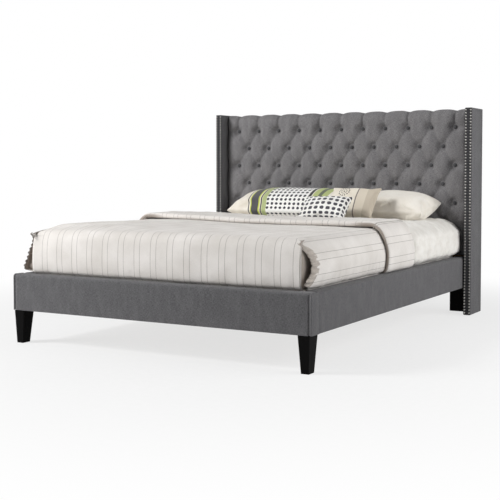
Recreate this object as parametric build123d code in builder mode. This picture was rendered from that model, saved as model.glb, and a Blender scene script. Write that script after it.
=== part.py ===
from build123d import *
import math
import os

os.makedirs("parts", exist_ok=True)

# Mattress and the room left around it
mattress_width = 1520.0
mattress_length = 2022.0
mattress_height = 250.0
mattress_corner_radius = 60.0
mattress_edge_radius = 25.0
side_gap = 12.0
foot_gap = 12.0
head_gap = 6.0
mattress_recess = 36.0          # the mattress's underside lies this far under the rail tops

# Clearances
soft_gap = 0.3                  # between soft pieces and their neighbours
bolt_clearance = 0.2            # round a fixed bolt or screw
thread_clearance = 0.05         # round a foot's stem that turns
overrun = 5.0                   # how far every cutter runs past the solid

# Rails: a board in a padded cover that is open on the inner face
leg_height = 168.0
rail_height = 188.0
foot_rail_thickness = 80.0
side_rail_thickness = 78.0
rail_board_thickness = 52.0
rail_top_padding = 14.0
rail_bottom_padding = 5.0
foot_rail_end_padding = 10.0
rail_top_radius = 14.0
rail_bottom_radius = 6.0
rail_inner_radius = 8.0
rail_crown = 5.0
foot_rail_end_radius = 8.0

# Headboard, counted from the front of the buttoned pad to the back
bed_height = 1258.0
pad_thickness = 48.0
panel_thickness = 16.0
batten_depth = 58.0
back_cloth_thickness = 1.5
headboard_leg_thickness = 22.0
wing_back_overhang = 4.5        # the wings reach this far behind the headboard legs
panel_side_gap = 0.5
pad_top_thickness = 32.0
pad_bottom_above_rail = 6.0
stile_width = 60.0
cross_batten_height = 80.0
bottom_batten_height = 140.0
middle_batten_height_share = 0.42
back_cloth_margin = 5.0

# Buttoning
button_pitch = 153.4
button_row_pitch = 116.3
button_top_gap = 112.0          # from the top edge down to the first row
button_rows = 6
pleat_depth = 20.0
button_depth = 31.0
button_radius = 12.0
button_rim = 2.0
button_dome = 5.0
button_shank_radius = 2.0
dimple_radius = 30.0
dimple_start_depth = 8.0
edge_puff_setback = 1.0         # the puffs round the buttoned field lie this much deeper
top_scallop_depth = 10.0
pad_side_roll = 40.0
pad_top_roll = 62.0
pad_back_fall = 6.0

# Wings
wing_depth = 212.0
wing_thickness = 45.0
wing_gap = 5.0                  # between a side rail and the wing beside it
wing_floor_gap = 6.0
wing_board_thickness = 25.0
wing_front_padding = 12.0
wing_end_padding = 6.0
wing_edge_radius = 5.0

# Nail heads on the wings' front edges
nail_pitch = 18.0
nail_row_spacing = 29.0
nail_end_gap = 14.0
nail_radius = 5.5
nail_dome = 3.0
nail_shank_radius = 1.0
nail_length = 20.0

# Front legs
front_leg_top_width = 59.0
front_leg_top_depth = 78.0
front_leg_foot_width = 38.0
front_leg_foot_depth = 53.0
front_leg_top_side_inset = 8.0
front_leg_foot_side_inset = 16.0
front_leg_top_front_inset = 1.0
front_leg_foot_front_inset = 8.0

# Headboard legs
headboard_leg_width = 130.0
headboard_leg_side_inset = 15.0
headboard_leg_height = 480.0
leg_bolt_height_shares = (0.25, 0.75)   # of the bottom batten's height

# Slats and what carries them
slat_thickness = 20.0
slat_width = 70.0
slat_pitch = 150.0
slat_count = 14
slat_end_gap = 2.0
ledger_width = 25.0
ledger_height = 40.0
ledger_end_gap = 10.0
strap_width = 25.0
strap_thickness = 2.0
strap_offset = 450.0
beam_width = 30.0
beam_height = 60.0
beam_end_gap = 1.0
hanger_plate = 3.0
hanger_width = 90.0
hanger_height = 72.0
hanger_reach = 50.0
hanger_side_height = 50.0
hanger_side_gap = 0.2
centre_leg_size = 38.0
centre_leg_shares = (0.44, 0.64, 0.84)   # of the beam's length, from the foot

# Levelling feet
levelling_foot_height = 12.0
levelling_foot_radius = 15.0
levelling_stem_radius = 4.0
levelling_stem_length = 30.0
levelling_bore_depth = 50.0

# Bolts and screws
bolt_radius = 4.0
bolt_head_radius = 6.5
bolt_head_height = 5.3
flat_head_radius = 8.0
flat_head_height = 3.5
hanger_bolt_length = 60.0
bracket_bolt_length = 45.0
wing_bolt_length = 88.0
wing_bolt_count = 3
wing_bolt_end_gap = 150.0
headboard_leg_bolt_length = 60.0
screw_radius = 2.5
screw_head_radius = 5.0
screw_head_height = 2.5
screw_length = 42.0
ledger_screw_count = 6
ledger_screw_end_gap = 120.0

# Angle brackets at the four corners
bracket_plate = 3.0
bracket_leg = 60.0
bracket_height = 74.0
bracket_floor_of_rail_gap = 12.0
bracket_hole_from_corner = 38.0
bracket_hole_spacing = 40.0
hanger_screw_offset = 32.0
hanger_screw_drop = 12.0
hanger_screw_spacing = 40.0

# Bedding
skirt_above_slats = 20.0
pad_cover_top = 12.0
pad_cover_side = 3.0
pad_cover_edge_radius = 32.0
coverlet_top = 6.0
coverlet_side = 4.0
coverlet_edge_radius = 50.0
coverlet_corner_radius = 80.0
coverlet_bulge = 30.0           # how far the drops stand out over the rails
drop_above_rail = 3.0           # the lowest part of the bulge above the rail tops
drop_lip_share = 0.7            # of the bulge, reached close above the rails
drop_lip_rise = 4.0
drop_rise = 60.0
corner_fold_width = 16.0
corner_fold_depth = 44.0
corner_fold_height = 190.0
cuff_front = 865.0              # from the foot rail's inner face to the folded edge
cuff_cushion_gap = 36.0         # between the folded cover and the cushion behind it
cuff_crest = 28.0
cuff_front_roll = 22.0
cuff_back_roll = 16.0
cuff_tuck = 3.4                 # thickness of the folded cover where it passes behind the rail
cuff_bulge = 36.0
cuff_edge_radius = 60.0

# Pillows and cushions: width, depth along the face, thickness, tilt, place across the bed
pillow_edge = 10.0
pillow_side_draw = 10.0
pillow_sink = 8.0               # how much of a pillow's underside is pressed flat
pillow_flat_share = 1 / 3       # of a pillow's width and depth, where its faces are level
banded_pillow_width = 850.0
banded_pillow_depth = 372.0
banded_pillow_thickness = 160.0
banded_pillow_tilt = 14.0
white_pillow_depth = 372.0
white_pillow_thickness = 165.0
white_pillow_tilt = 8.0
banded_pillow_edge_inset = 110.0        # the outer tips from the mattress's sides
white_pillow_edge_inset = 55.0
pillow_row_gap = 8.0
beige_cushion_width = 320.0
beige_cushion_depth = 250.0
beige_cushion_thickness = 85.0
beige_cushion_tilt = 50.0
beige_cushion_place = 300.0     # its middle, to the right of the bed's middle
dotted_cushion_width = 308.0
dotted_cushion_depth = 202.0
dotted_cushion_thickness = 90.0
dotted_cushion_tilt = 45.0
dotted_cushion_place = 216.0
cushion_row_overlap = 6.0       # of the cushions' nominal depths, which their round edges leave free
beige_cushion_lean = 12.0       # how far it reaches in under the round front of the pillows behind it

# Places across the bed, from the middle outwards
rail_inner_x = mattress_width / 2 + side_gap
rail_outer_x = rail_inner_x + side_rail_thickness
wing_inner_x = rail_outer_x + wing_gap
wing_outer_x = wing_inner_x + wing_thickness
panel_x = wing_inner_x - panel_side_gap

# Places along the bed, from the foot to the head, with the origin in the middle
headboard_depth = (pad_thickness + panel_thickness + batten_depth + back_cloth_thickness
                   + headboard_leg_thickness + wing_back_overhang)
bed_length = foot_rail_thickness + foot_gap + mattress_length + head_gap + headboard_depth
foot_y = -bed_length / 2
wing_back_y = bed_length / 2
foot_rail_inner_y = foot_y + foot_rail_thickness
mattress_foot_y = foot_rail_inner_y + foot_gap
mattress_head_y = mattress_foot_y + mattress_length
pad_front_y = mattress_head_y + head_gap
panel_front_y = pad_front_y + pad_thickness
panel_back_y = panel_front_y + panel_thickness
batten_back_y = panel_back_y + batten_depth
cloth_back_y = batten_back_y + back_cloth_thickness
headboard_leg_back_y = cloth_back_y + headboard_leg_thickness
wing_front_y = wing_back_y - wing_depth

# Heights, from the floor up
rail_bottom_z = leg_height
rail_top_z = rail_bottom_z + rail_height
slat_top_z = rail_top_z - mattress_recess
slat_bottom_z = slat_top_z - slat_thickness
beam_bottom_z = slat_bottom_z - beam_height
mattress_top_z = slat_top_z + mattress_height
pad_bottom_z = rail_top_z + pad_bottom_above_rail
panel_top_z = bed_height - pad_top_thickness
button_top_z = bed_height - button_top_gap
button_bottom_z = button_top_z - (button_rows - 1) * button_row_pitch
rail_board_bottom_z = rail_bottom_z + rail_bottom_padding
rail_board_top_z = rail_top_z - rail_top_padding
skirt_z = slat_top_z + skirt_above_slats


def save(piece, node):
    """Label a finished piece and write it under its node's name."""
    piece.part.label = node
    export_step(piece.part, f"parts/{node}.step")


def block(x_limits, y_limits, z_limits, mode=Mode.ADD):
    """Add, cut or keep a box given by its limits along X, Y and Z."""
    limits = [sorted(pair) for pair in (x_limits, y_limits, z_limits)]
    with Locations(tuple((low + high) / 2 for low, high in limits)):
        Box(*(high - low for low, high in limits), mode=mode)


def rod(start, direction, radius, length, mode=Mode.ADD):
    """Add or cut a round bar that starts at a point and runs along a direction."""
    with BuildSketch(Plane(origin=start, z_dir=direction)) as ring:
        Circle(radius)
    extrude(ring.sketch, amount=length, mode=mode)


def offset_point(point, direction, distance):
    """The point that lies a distance along a unit direction."""
    return tuple(place + distance * step for place, step in zip(point, direction))


# Fasteners: each is a head's seat, a direction into the wood, and a size


def fastener(seats, head_radius, head_height, shank_radius, length):
    """Add one headed fastener for each seat and direction."""
    for seat, direction in seats:
        back = tuple(-step for step in direction)
        rod(seat, back, head_radius, head_height)
        rod(seat, direction, shank_radius, length)


def fastener_holes(seats, shank_radius, length):
    """Cut the clearance hole of each fastener."""
    for seat, direction in seats:
        start = offset_point(seat, direction, -overrun)
        rod(start, direction, shank_radius + bolt_clearance, length + overrun, Mode.SUBTRACT)


# Rows and places that several pieces share

bracket_bottom_z = rail_bottom_z + bracket_floor_of_rail_gap
bracket_top_z = bracket_bottom_z + bracket_height
bracket_middle_z = (bracket_bottom_z + bracket_top_z) / 2
bracket_hole_zs = (bracket_middle_z - bracket_hole_spacing / 2,
                   bracket_middle_z + bracket_hole_spacing / 2)


def bracket_seats(side, corner_y, inward):
    """Bolt seats of one angle bracket; inward is +1 at the foot and -1 at the head."""
    rail_face_x = side * (rail_inner_x - bracket_plate)
    cross_face_y = corner_y + inward * bracket_plate
    seats = []
    for z in bracket_hole_zs:
        seats.append(((rail_face_x, corner_y + inward * bracket_hole_from_corner, z), (side, 0, 0)))
        seats.append(((side * (rail_inner_x - bracket_hole_from_corner), cross_face_y, z),
                      (0, -inward, 0)))
    return seats


corner_places = [(side, corner_y, inward) for side in (-1, 1)
                 for corner_y, inward in ((foot_rail_inner_y, 1), (panel_front_y, -1))]
all_bracket_seats = [seat for place in corner_places for seat in bracket_seats(*place)]

hanger_ends = ((foot_rail_inner_y, 1), (panel_front_y, -1))
hanger_top_z = slat_bottom_z - hanger_plate
hanger_screw_zs = (hanger_top_z - hanger_screw_drop,
                   hanger_top_z - hanger_screw_drop - hanger_screw_spacing)
hanger_screw_seats = [((side * hanger_screw_offset, end_y + inward * hanger_plate, z), (0, -inward, 0))
                      for end_y, inward in hanger_ends for side in (-1, 1) for z in hanger_screw_zs]

ledger_screw_run = panel_front_y - foot_rail_inner_y - 2 * ledger_screw_end_gap
ledger_screw_ys = [foot_rail_inner_y + ledger_screw_end_gap
                   + step * ledger_screw_run / (ledger_screw_count - 1)
                   for step in range(ledger_screw_count)]
ledger_screw_z = slat_bottom_z - ledger_height / 2
ledger_screw_seats = [((side * (rail_inner_x - ledger_width), y, ledger_screw_z), (side, 0, 0))
                      for side in (-1, 1) for y in ledger_screw_ys]

front_leg_x = rail_outer_x - front_leg_top_side_inset - front_leg_top_width / 2
front_leg_y = foot_rail_inner_y - rail_board_thickness / 2
front_bolt_starts = [(side * front_leg_x, front_leg_y, leg_height - hanger_bolt_length / 2)
                     for side in (-1, 1)]

beam_foot_y = foot_rail_inner_y + hanger_plate + beam_end_gap
beam_head_y = panel_front_y - hanger_plate - beam_end_gap
centre_leg_ys = [beam_foot_y + share * (beam_head_y - beam_foot_y) for share in centre_leg_shares]
centre_bolt_starts = [(0, y, beam_bottom_z - hanger_bolt_length / 2) for y in centre_leg_ys]

batten_middle_y = (panel_back_y + batten_back_y) / 2
stile_inner_x = panel_x - stile_width
wing_bottom_z = wing_floor_gap
wing_board_inner_x = wing_inner_x + (wing_thickness - wing_board_thickness) / 2
wing_bolt_run = panel_top_z - rail_bottom_z - 2 * wing_bolt_end_gap
wing_bolt_zs = [rail_bottom_z + wing_bolt_end_gap + step * wing_bolt_run / (wing_bolt_count - 1)
                for step in range(wing_bolt_count)]
wing_bolt_seats = {side: [((side * stile_inner_x, batten_middle_y, z), (side, 0, 0))
                          for z in wing_bolt_zs] for side in (-1, 1)}

leg_outer_x = panel_x - headboard_leg_side_inset
leg_inner_x = leg_outer_x - headboard_leg_width
leg_low_bolt_x = (leg_inner_x + stile_inner_x) / 2
leg_high_bolt_x = (stile_inner_x + leg_outer_x) / 2
leg_bolt_low_zs = [rail_bottom_z + share * bottom_batten_height for share in leg_bolt_height_shares]
leg_bolt_high_zs = (headboard_leg_height - bottom_batten_height,
                    headboard_leg_height - cross_batten_height / 2)
leg_bolt_rows = ((leg_low_bolt_x, leg_bolt_low_zs), (leg_high_bolt_x, leg_bolt_high_zs))
leg_bolt_seats = {side: [((side * x, headboard_leg_back_y, z), (0, -1, 0))
                         for x, zs in leg_bolt_rows for z in zs] for side in (-1, 1)}


# Rails


def rail_cover_outline(thickness):
    """Cross-section of a rail's padded cover: outer face at 0, crowned top, rounded edges."""
    shoulder_z = rail_top_z - rail_crown
    with BuildLine() as outline:
        outer = Line((0, rail_bottom_z + rail_bottom_radius), (0, shoulder_z - rail_top_radius))
        top_roll = TangentArc(outer @ 1, (rail_top_radius, shoulder_z), tangent=(0, 1))
        crown = ThreePointArc(top_roll @ 1, (thickness / 2, rail_top_z),
                              (thickness - rail_inner_radius, shoulder_z))
        inner_roll = TangentArc(crown @ 1, (thickness, shoulder_z - rail_inner_radius), tangent=(1, 0))
        inner = Line(inner_roll @ 1, (thickness, rail_bottom_z))
        bottom = Line(inner @ 1, (rail_bottom_radius, rail_bottom_z))
        TangentArc(bottom @ 1, outer @ 0, tangent=(-1, 0))
    make_face(outline.edges())


foot_board_y = (foot_rail_inner_y - rail_board_thickness, foot_rail_inner_y)
foot_board_x = rail_outer_x - foot_rail_end_padding

with BuildPart() as foot_rail_board:
    block((-foot_board_x, foot_board_x), foot_board_y, (rail_board_bottom_z, rail_board_top_z))
    fastener_holes([seat for seat in all_bracket_seats if seat[1] == (0, -1, 0)],
                   bolt_radius, bracket_bolt_length)
    fastener_holes([seat for seat in hanger_screw_seats if seat[1] == (0, -1, 0)],
                   screw_radius, screw_length)
    for start in front_bolt_starts:
        rod(start, (0, 0, 1), bolt_radius + bolt_clearance, hanger_bolt_length, Mode.SUBTRACT)
save(foot_rail_board, "foot_rail_board")

with BuildPart() as foot_rail_padding:
    with BuildSketch(Plane(origin=(-rail_outer_x, foot_y, 0), x_dir=(0, 1, 0), z_dir=(1, 0, 0))):
        rail_cover_outline(foot_rail_thickness)
    extrude(amount=2 * rail_outer_x)
    with BuildSketch(Plane.XY.offset(rail_bottom_z)):
        with Locations((0, foot_y + foot_rail_thickness / 2)):
            Rectangle(2 * rail_outer_x, foot_rail_thickness)
        fillet(vertices().group_by(Axis.Y)[0], foot_rail_end_radius)
    extrude(amount=rail_height, mode=Mode.INTERSECT)
    block((-foot_board_x, foot_board_x), (foot_board_y[0], foot_board_y[1] + overrun),
          (rail_board_bottom_z, rail_board_top_z), Mode.SUBTRACT)
    for start in front_bolt_starts:
        rod(start, (0, 0, 1), bolt_radius + bolt_clearance, hanger_bolt_length, Mode.SUBTRACT)
save(foot_rail_padding, "foot_rail_padding")


def make_side_rail(side, name):
    """One side rail's board and padded cover."""
    board_x = (side * rail_inner_x, side * (rail_inner_x + rail_board_thickness))
    run_y = (foot_rail_inner_y, panel_front_y)
    board_z = (rail_board_bottom_z, rail_board_top_z)
    with BuildPart() as board:
        block(board_x, run_y, board_z)
        fastener_holes([seat for seat in all_bracket_seats if seat[1] == (side, 0, 0)],
                       bolt_radius, bracket_bolt_length)
        fastener_holes([seat for seat in ledger_screw_seats if seat[1] == (side, 0, 0)],
                       screw_radius, screw_length)
    save(board, f"{name}_side_rail_board")

    with BuildPart() as padding:
        with BuildSketch(Plane(origin=(side * rail_outer_x, foot_rail_inner_y, 0),
                               x_dir=(-side, 0, 0), z_dir=(0, side, 0))):
            rail_cover_outline(side_rail_thickness)
        extrude(amount=side * (panel_front_y - foot_rail_inner_y))
        inner_x = side * (rail_inner_x - overrun)
        block((inner_x, board_x[1]), (run_y[0] - overrun, run_y[1] + overrun), board_z, Mode.SUBTRACT)
    save(padding, f"{name}_side_rail_padding")


make_side_rail(-1, "left")
make_side_rail(1, "right")


# Headboard frame

with BuildPart() as headboard_panel:
    block((-panel_x, panel_x), (panel_front_y, panel_back_y), (rail_bottom_z, panel_top_z))
    fastener_holes([seat for seat in all_bracket_seats if seat[1] == (0, 1, 0)],
                   bolt_radius, bracket_bolt_length)
    fastener_holes([seat for seat in hanger_screw_seats if seat[1] == (0, 1, 0)],
                   screw_radius, screw_length)
save(headboard_panel, "headboard_panel")

with BuildPart() as headboard_battens:
    batten_y = (panel_back_y, batten_back_y)
    for side in (-1, 1):
        block((side * stile_inner_x, side * panel_x), batten_y, (rail_bottom_z, panel_top_z))
    middle_z = rail_bottom_z + middle_batten_height_share * (panel_top_z - rail_bottom_z)
    for low, high in ((rail_bottom_z, rail_bottom_z + bottom_batten_height),
                      (middle_z - cross_batten_height / 2, middle_z + cross_batten_height / 2),
                      (panel_top_z - cross_batten_height, panel_top_z)):
        block((-stile_inner_x + soft_gap, stile_inner_x - soft_gap), batten_y, (low, high))
    fastener_holes([seat for seat in all_bracket_seats if seat[1] == (0, 1, 0)],
                   bolt_radius, bracket_bolt_length)
    fastener_holes([seat for seat in hanger_screw_seats if seat[1] == (0, 1, 0)],
                   screw_radius, screw_length)
    for side in (-1, 1):
        fastener_holes(wing_bolt_seats[side], bolt_radius, wing_bolt_length)
        fastener_holes(leg_bolt_seats[side], bolt_radius, headboard_leg_bolt_length)
save(headboard_battens, "headboard_battens")

with BuildPart() as headboard_back_cloth:
    block((-panel_x + back_cloth_margin, panel_x - back_cloth_margin), (batten_back_y, cloth_back_y),
          (rail_bottom_z + back_cloth_margin, bed_height - pad_back_fall - back_cloth_margin))
    for side in (-1, 1):
        fastener_holes(leg_bolt_seats[side], bolt_radius, headboard_leg_bolt_length)
save(headboard_back_cloth, "headboard_back_cloth")


# Buttoned pad: puffs between pleats that run from button to button

button_slope_length = math.hypot(button_pitch / 2, button_row_pitch)
slope_x = button_pitch / 2 / button_slope_length
slope_z = button_row_pitch / button_slope_length
diagonal_pitch = button_pitch * slope_z
pad_back = batten_back_y - pad_front_y
outer_button_steps = math.floor((panel_x - button_radius) / button_pitch)
outer_button_x = outer_button_steps * button_pitch
pad_reach = 2 * (panel_x + bed_height)
button_places = []
for row in range(button_rows):
    shift = row % 2 / 2
    steps = outer_button_steps - row % 2
    for step in range(-outer_button_steps, steps + 1):
        button_places.append(((step + shift) * button_pitch, pad_front_y,
                              button_top_z - row * button_row_pitch))


def scallops(first, count, pitch, crest, valley, back):
    """A face bounded by a row of arcs in front and a straight back."""
    with BuildLine() as outline:
        for step in range(count):
            start = first + step * pitch
            ThreePointArc((start, valley), (start + pitch / 2, crest), (start + pitch, valley))
        last = first + count * pitch
        Polyline((last, valley), (last, back), (first, back), (first, valley))
    make_face(outline.edges())


def diagonal_puffs(lean):
    """Puffs parted by slanting pleats; lean is +1 or -1 for the way the pleats slant."""
    steps = math.ceil(pad_reach / 2 / diagonal_pitch)
    along = (lean * slope_x, 0, slope_z)
    across = (slope_z, 0, -lean * slope_x)
    with BuildPart() as puffs:
        with BuildSketch(Plane(origin=(0, pad_front_y, button_top_z), x_dir=across, z_dir=along)):
            scallops(-steps * diagonal_pitch, 2 * steps, diagonal_pitch, 0, pleat_depth, pad_back)
        extrude(amount=pad_reach / 2, both=True)
    return puffs.part


with BuildPart() as upright_puffs:
    with BuildSketch(Plane(origin=(0, pad_front_y, button_bottom_z), x_dir=(1, 0, 0), z_dir=(0, 0, 1))):
        scallops(-(outer_button_steps + 1) * button_pitch, 2 * (outer_button_steps + 1), button_pitch,
                 edge_puff_setback, pleat_depth + edge_puff_setback, pad_back)
    extrude(amount=bed_height)

with BuildPart() as level_puffs:
    with BuildSketch(Plane(origin=(-panel_x, pad_front_y, button_top_z), x_dir=(0, 0, -1), z_dir=(1, 0, 0))):
        scallops(-2 * button_row_pitch, button_rows // 2 + 2, 2 * button_row_pitch,
                 edge_puff_setback, pleat_depth + edge_puff_setback, pad_back)
    extrude(amount=2 * panel_x)

pad_run_y = (pad_front_y - overrun, batten_back_y)

with BuildPart() as middle_zone:
    block((-outer_button_x, outer_button_x), pad_run_y, (button_bottom_z, button_top_z))
    add(diagonal_puffs(1), mode=Mode.INTERSECT)
    add(diagonal_puffs(-1), mode=Mode.INTERSECT)

with BuildPart() as top_zone:
    block((-panel_x, panel_x), pad_run_y, (button_top_z, bed_height))
    add(upright_puffs.part, mode=Mode.INTERSECT)

with BuildPart() as side_zones:
    for side in (-1, 1):
        block((side * outer_button_x, side * panel_x), pad_run_y, (button_bottom_z, bed_height))
    add(level_puffs.part, mode=Mode.INTERSECT)

with BuildPart() as pad_roll_over_top:
    with BuildSketch(Plane(origin=(-panel_x, pad_front_y, 0), x_dir=(0, 1, 0), z_dir=(1, 0, 0))):
        with BuildLine():
            front = Line((0, pad_bottom_z), (0, bed_height - pad_top_roll))
            roll = TangentArc(front @ 1, (pad_top_roll, bed_height), tangent=(0, 1))
            Polyline(roll @ 1, (pad_back, bed_height - pad_back_fall), (pad_back, pad_bottom_z), front @ 0)
        make_face()
    extrude(amount=2 * panel_x)

with BuildPart() as pad_roll_to_sides:
    with BuildSketch(Plane(origin=(0, pad_front_y, pad_bottom_z), x_dir=(1, 0, 0), z_dir=(0, 0, 1))):
        with BuildLine():
            left_end = Line((-panel_x, pad_back), (-panel_x, pad_side_roll))
            left_roll = TangentArc(left_end @ 1, (-panel_x + pad_side_roll, 0), tangent=(0, -1))
            face_line = Line(left_roll @ 1, (panel_x - pad_side_roll, 0))
            right_roll = TangentArc(face_line @ 1, (panel_x, pad_side_roll), tangent=(1, 0))
            Polyline(right_roll @ 1, (panel_x, pad_back), left_end @ 0)
        make_face()
    extrude(amount=bed_height)

with BuildPart() as scalloped_top:
    with BuildSketch(Plane(origin=(0, pad_front_y - overrun, 0), x_dir=(1, 0, 0), z_dir=(0, -1, 0))):
        scallops(-(outer_button_steps + 1) * button_pitch, 2 * (outer_button_steps + 1), button_pitch,
                 bed_height, bed_height - top_scallop_depth, pad_bottom_z)
    extrude(amount=-(pad_back + 2 * overrun))

with BuildPart() as dimple:
    with BuildSketch(Plane.XY):
        with BuildLine():
            Polyline((0, -overrun), (dimple_radius, -overrun), (dimple_radius, dimple_start_depth),
                     (button_radius, button_depth), (button_shank_radius + bolt_clearance, button_depth),
                     (button_shank_radius + bolt_clearance, pad_thickness + overrun),
                     (0, pad_thickness + overrun), (0, -overrun))
        make_face()
    revolve(axis=Axis.Y)

with BuildPart() as headboard_tufted_pad:
    add(middle_zone.part)
    add(top_zone.part)
    add(side_zones.part)
    block((-panel_x, panel_x), (pad_front_y + pleat_depth, batten_back_y), (pad_bottom_z, button_bottom_z))
    add(pad_roll_over_top.part, mode=Mode.INTERSECT)
    add(pad_roll_to_sides.part, mode=Mode.INTERSECT)
    add(scalloped_top.part, mode=Mode.INTERSECT)
    block((-panel_x - overrun, panel_x + overrun), (panel_front_y, batten_back_y + overrun),
          (pad_bottom_z - overrun, panel_top_z), Mode.SUBTRACT)
    with Locations(*button_places):
        add(dimple.part, mode=Mode.SUBTRACT)
save(headboard_tufted_pad, "headboard_tufted_pad")

with BuildPart() as button:
    with BuildSketch(Plane.XY):
        with BuildLine():
            face_y = button_depth - button_rim - button_dome
            dome = ThreePointArc((0, face_y), (button_radius * math.sin(math.pi / 4),
                                 face_y + button_dome * (1 - math.cos(math.pi / 4))),
                                 (button_radius, face_y + button_dome))
            Polyline(dome @ 1, (button_radius, button_depth), (button_shank_radius, button_depth),
                     (button_shank_radius, pad_thickness), (0, pad_thickness), dome @ 0)
        make_face()
    revolve(axis=Axis.Y)

with BuildPart() as tuft_buttons:
    with Locations(*button_places):
        add(button.part)
save(tuft_buttons, "tuft_buttons")


# Wings

nail_count = math.floor((bed_height - wing_bottom_z - 2 * nail_end_gap) / nail_pitch) + 1
nail_first_z = (bed_height + wing_bottom_z - (nail_count - 1) * nail_pitch) / 2
wing_middle_x = wing_inner_x + wing_thickness / 2

with BuildPart() as nail:
    with BuildSketch(Plane.XY):
        with BuildLine():
            cap = ThreePointArc((0, -nail_dome), (nail_radius * math.sin(math.pi / 4),
                                -nail_dome * math.cos(math.pi / 4)), (nail_radius, 0))
            Polyline(cap @ 1, (nail_shank_radius, 0), (nail_shank_radius, nail_length - nail_shank_radius),
                     (0, nail_length), cap @ 0)
        make_face()
    revolve(axis=Axis.Y)


def make_wing(side, name):
    """One wing: its board, its padded cover and the nails in its front edge."""
    board_x = (side * wing_board_inner_x, side * (wing_board_inner_x + wing_board_thickness))
    nail_places = [(side * (wing_middle_x + row * nail_row_spacing / 2), wing_front_y,
                    nail_first_z + step * nail_pitch)
                   for row in (-1, 1) for step in range(nail_count)]
    board_places = [place for place in nail_places
                    if abs(abs(place[0]) - wing_middle_x) + nail_shank_radius < wing_board_thickness / 2]

    with BuildPart() as board:
        block(board_x, (wing_front_y + wing_front_padding, wing_back_y),
              (wing_bottom_z + wing_end_padding, bed_height - wing_end_padding))
        fastener_holes(wing_bolt_seats[side], bolt_radius, wing_bolt_length)
        if board_places:
            with BuildSketch(Plane.XZ.offset(-wing_front_y)):
                with Locations(*[(x, z) for x, y, z in board_places]):
                    Circle(nail_shank_radius + bolt_clearance)
            extrude(amount=-nail_length - bolt_clearance, mode=Mode.SUBTRACT)
    save(board, f"{name}_wing_board")

    with BuildPart() as padding:
        block((side * wing_inner_x, side * wing_outer_x), (wing_front_y, wing_back_y),
              (wing_bottom_z, bed_height))
        fillet(faces().sort_by(Axis.Y)[0].edges(), wing_edge_radius)
        block(board_x, (wing_front_y + wing_front_padding, wing_back_y + overrun),
              (wing_bottom_z + wing_end_padding, bed_height - wing_end_padding), Mode.SUBTRACT)
        fastener_holes(wing_bolt_seats[side], bolt_radius, wing_bolt_length)
        with BuildSketch(Plane.XZ.offset(-wing_front_y + overrun)):
            with Locations(*[(x, z) for x, y, z in nail_places]):
                Circle(nail_shank_radius + bolt_clearance)
        extrude(amount=-nail_length - overrun - bolt_clearance, mode=Mode.SUBTRACT)
    save(padding, f"{name}_wing_padding")

    with BuildPart() as nails:
        with Locations(*nail_places):
            add(nail.part)
    save(nails, f"{name}_wing_nails")


make_wing(-1, "left")
make_wing(1, "right")

with BuildPart() as wing_bolts:
    for side in (-1, 1):
        fastener(wing_bolt_seats[side], bolt_head_radius, bolt_head_height, bolt_radius, wing_bolt_length)
save(wing_bolts, "wing_bolts")


# Legs


def make_front_leg(side, name):
    """A tapered front leg under one end of the foot rail."""
    top_x = side * front_leg_x
    foot_x = side * (rail_outer_x - front_leg_foot_side_inset - front_leg_foot_width / 2)
    top_y = foot_y + front_leg_top_front_inset + front_leg_top_depth / 2
    floor_y = foot_y + front_leg_foot_front_inset + front_leg_foot_depth / 2
    with BuildPart() as leg:
        with BuildSketch(Plane.XY):
            with Locations((foot_x, floor_y)):
                Rectangle(front_leg_foot_width, front_leg_foot_depth)
        with BuildSketch(Plane.XY.offset(leg_height)):
            with Locations((top_x, top_y)):
                Rectangle(front_leg_top_width, front_leg_top_depth)
        loft(ruled=True)
        for start in front_bolt_starts:
            rod(start, (0, 0, 1), bolt_radius + bolt_clearance, hanger_bolt_length, Mode.SUBTRACT)
    save(leg, f"front_{name}_leg")


def make_headboard_leg(side, name):
    """A flat board that carries one side of the headboard."""
    with BuildPart() as leg:
        block((side * leg_inner_x, side * leg_outer_x), (cloth_back_y, headboard_leg_back_y),
              (0, headboard_leg_height))
        fastener_holes(leg_bolt_seats[side], bolt_radius, headboard_leg_bolt_length)
    save(leg, f"{name}_headboard_leg")


for leg_side, leg_name in ((-1, "left"), (1, "right")):
    make_front_leg(leg_side, leg_name)
    make_headboard_leg(leg_side, leg_name)

with BuildPart() as headboard_leg_bolts:
    for side in (-1, 1):
        fastener(leg_bolt_seats[side], flat_head_radius, flat_head_height, bolt_radius,
                 headboard_leg_bolt_length)
save(headboard_leg_bolts, "headboard_leg_bolts")

with BuildPart() as leg_hanger_bolts:
    for start in front_bolt_starts + centre_bolt_starts:
        rod(start, (0, 0, 1), bolt_radius, hanger_bolt_length)
save(leg_hanger_bolts, "leg_hanger_bolts")


# Brackets and their bolts

with BuildPart() as corner_brackets:
    for side, corner_y, inward in corner_places:
        corner_x = side * rail_inner_x
        block((corner_x, corner_x - side * bracket_plate), (corner_y, corner_y + inward * bracket_leg),
              (bracket_bottom_z, bracket_top_z))
        block((corner_x, corner_x - side * bracket_leg), (corner_y, corner_y + inward * bracket_plate),
              (bracket_bottom_z, bracket_top_z))
    fastener_holes(all_bracket_seats, bolt_radius, bracket_bolt_length)
save(corner_brackets, "corner_brackets")

with BuildPart() as bracket_bolts:
    fastener(all_bracket_seats, bolt_head_radius, bolt_head_height, bolt_radius, bracket_bolt_length)
save(bracket_bolts, "bracket_bolts")


# Slats and their supports


def make_ledger(side, name):
    """The batten on one side rail that the slats' ends lie on."""
    with BuildPart() as ledger:
        block((side * rail_inner_x, side * (rail_inner_x - ledger_width)),
              (foot_rail_inner_y + ledger_end_gap, panel_front_y - ledger_end_gap),
              (slat_bottom_z - ledger_height, slat_bottom_z))
        fastener_holes([seat for seat in ledger_screw_seats if seat[1] == (side, 0, 0)],
                       screw_radius, screw_length)
    save(ledger, f"{name}_slat_ledger")


make_ledger(-1, "left")
make_ledger(1, "right")

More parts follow.
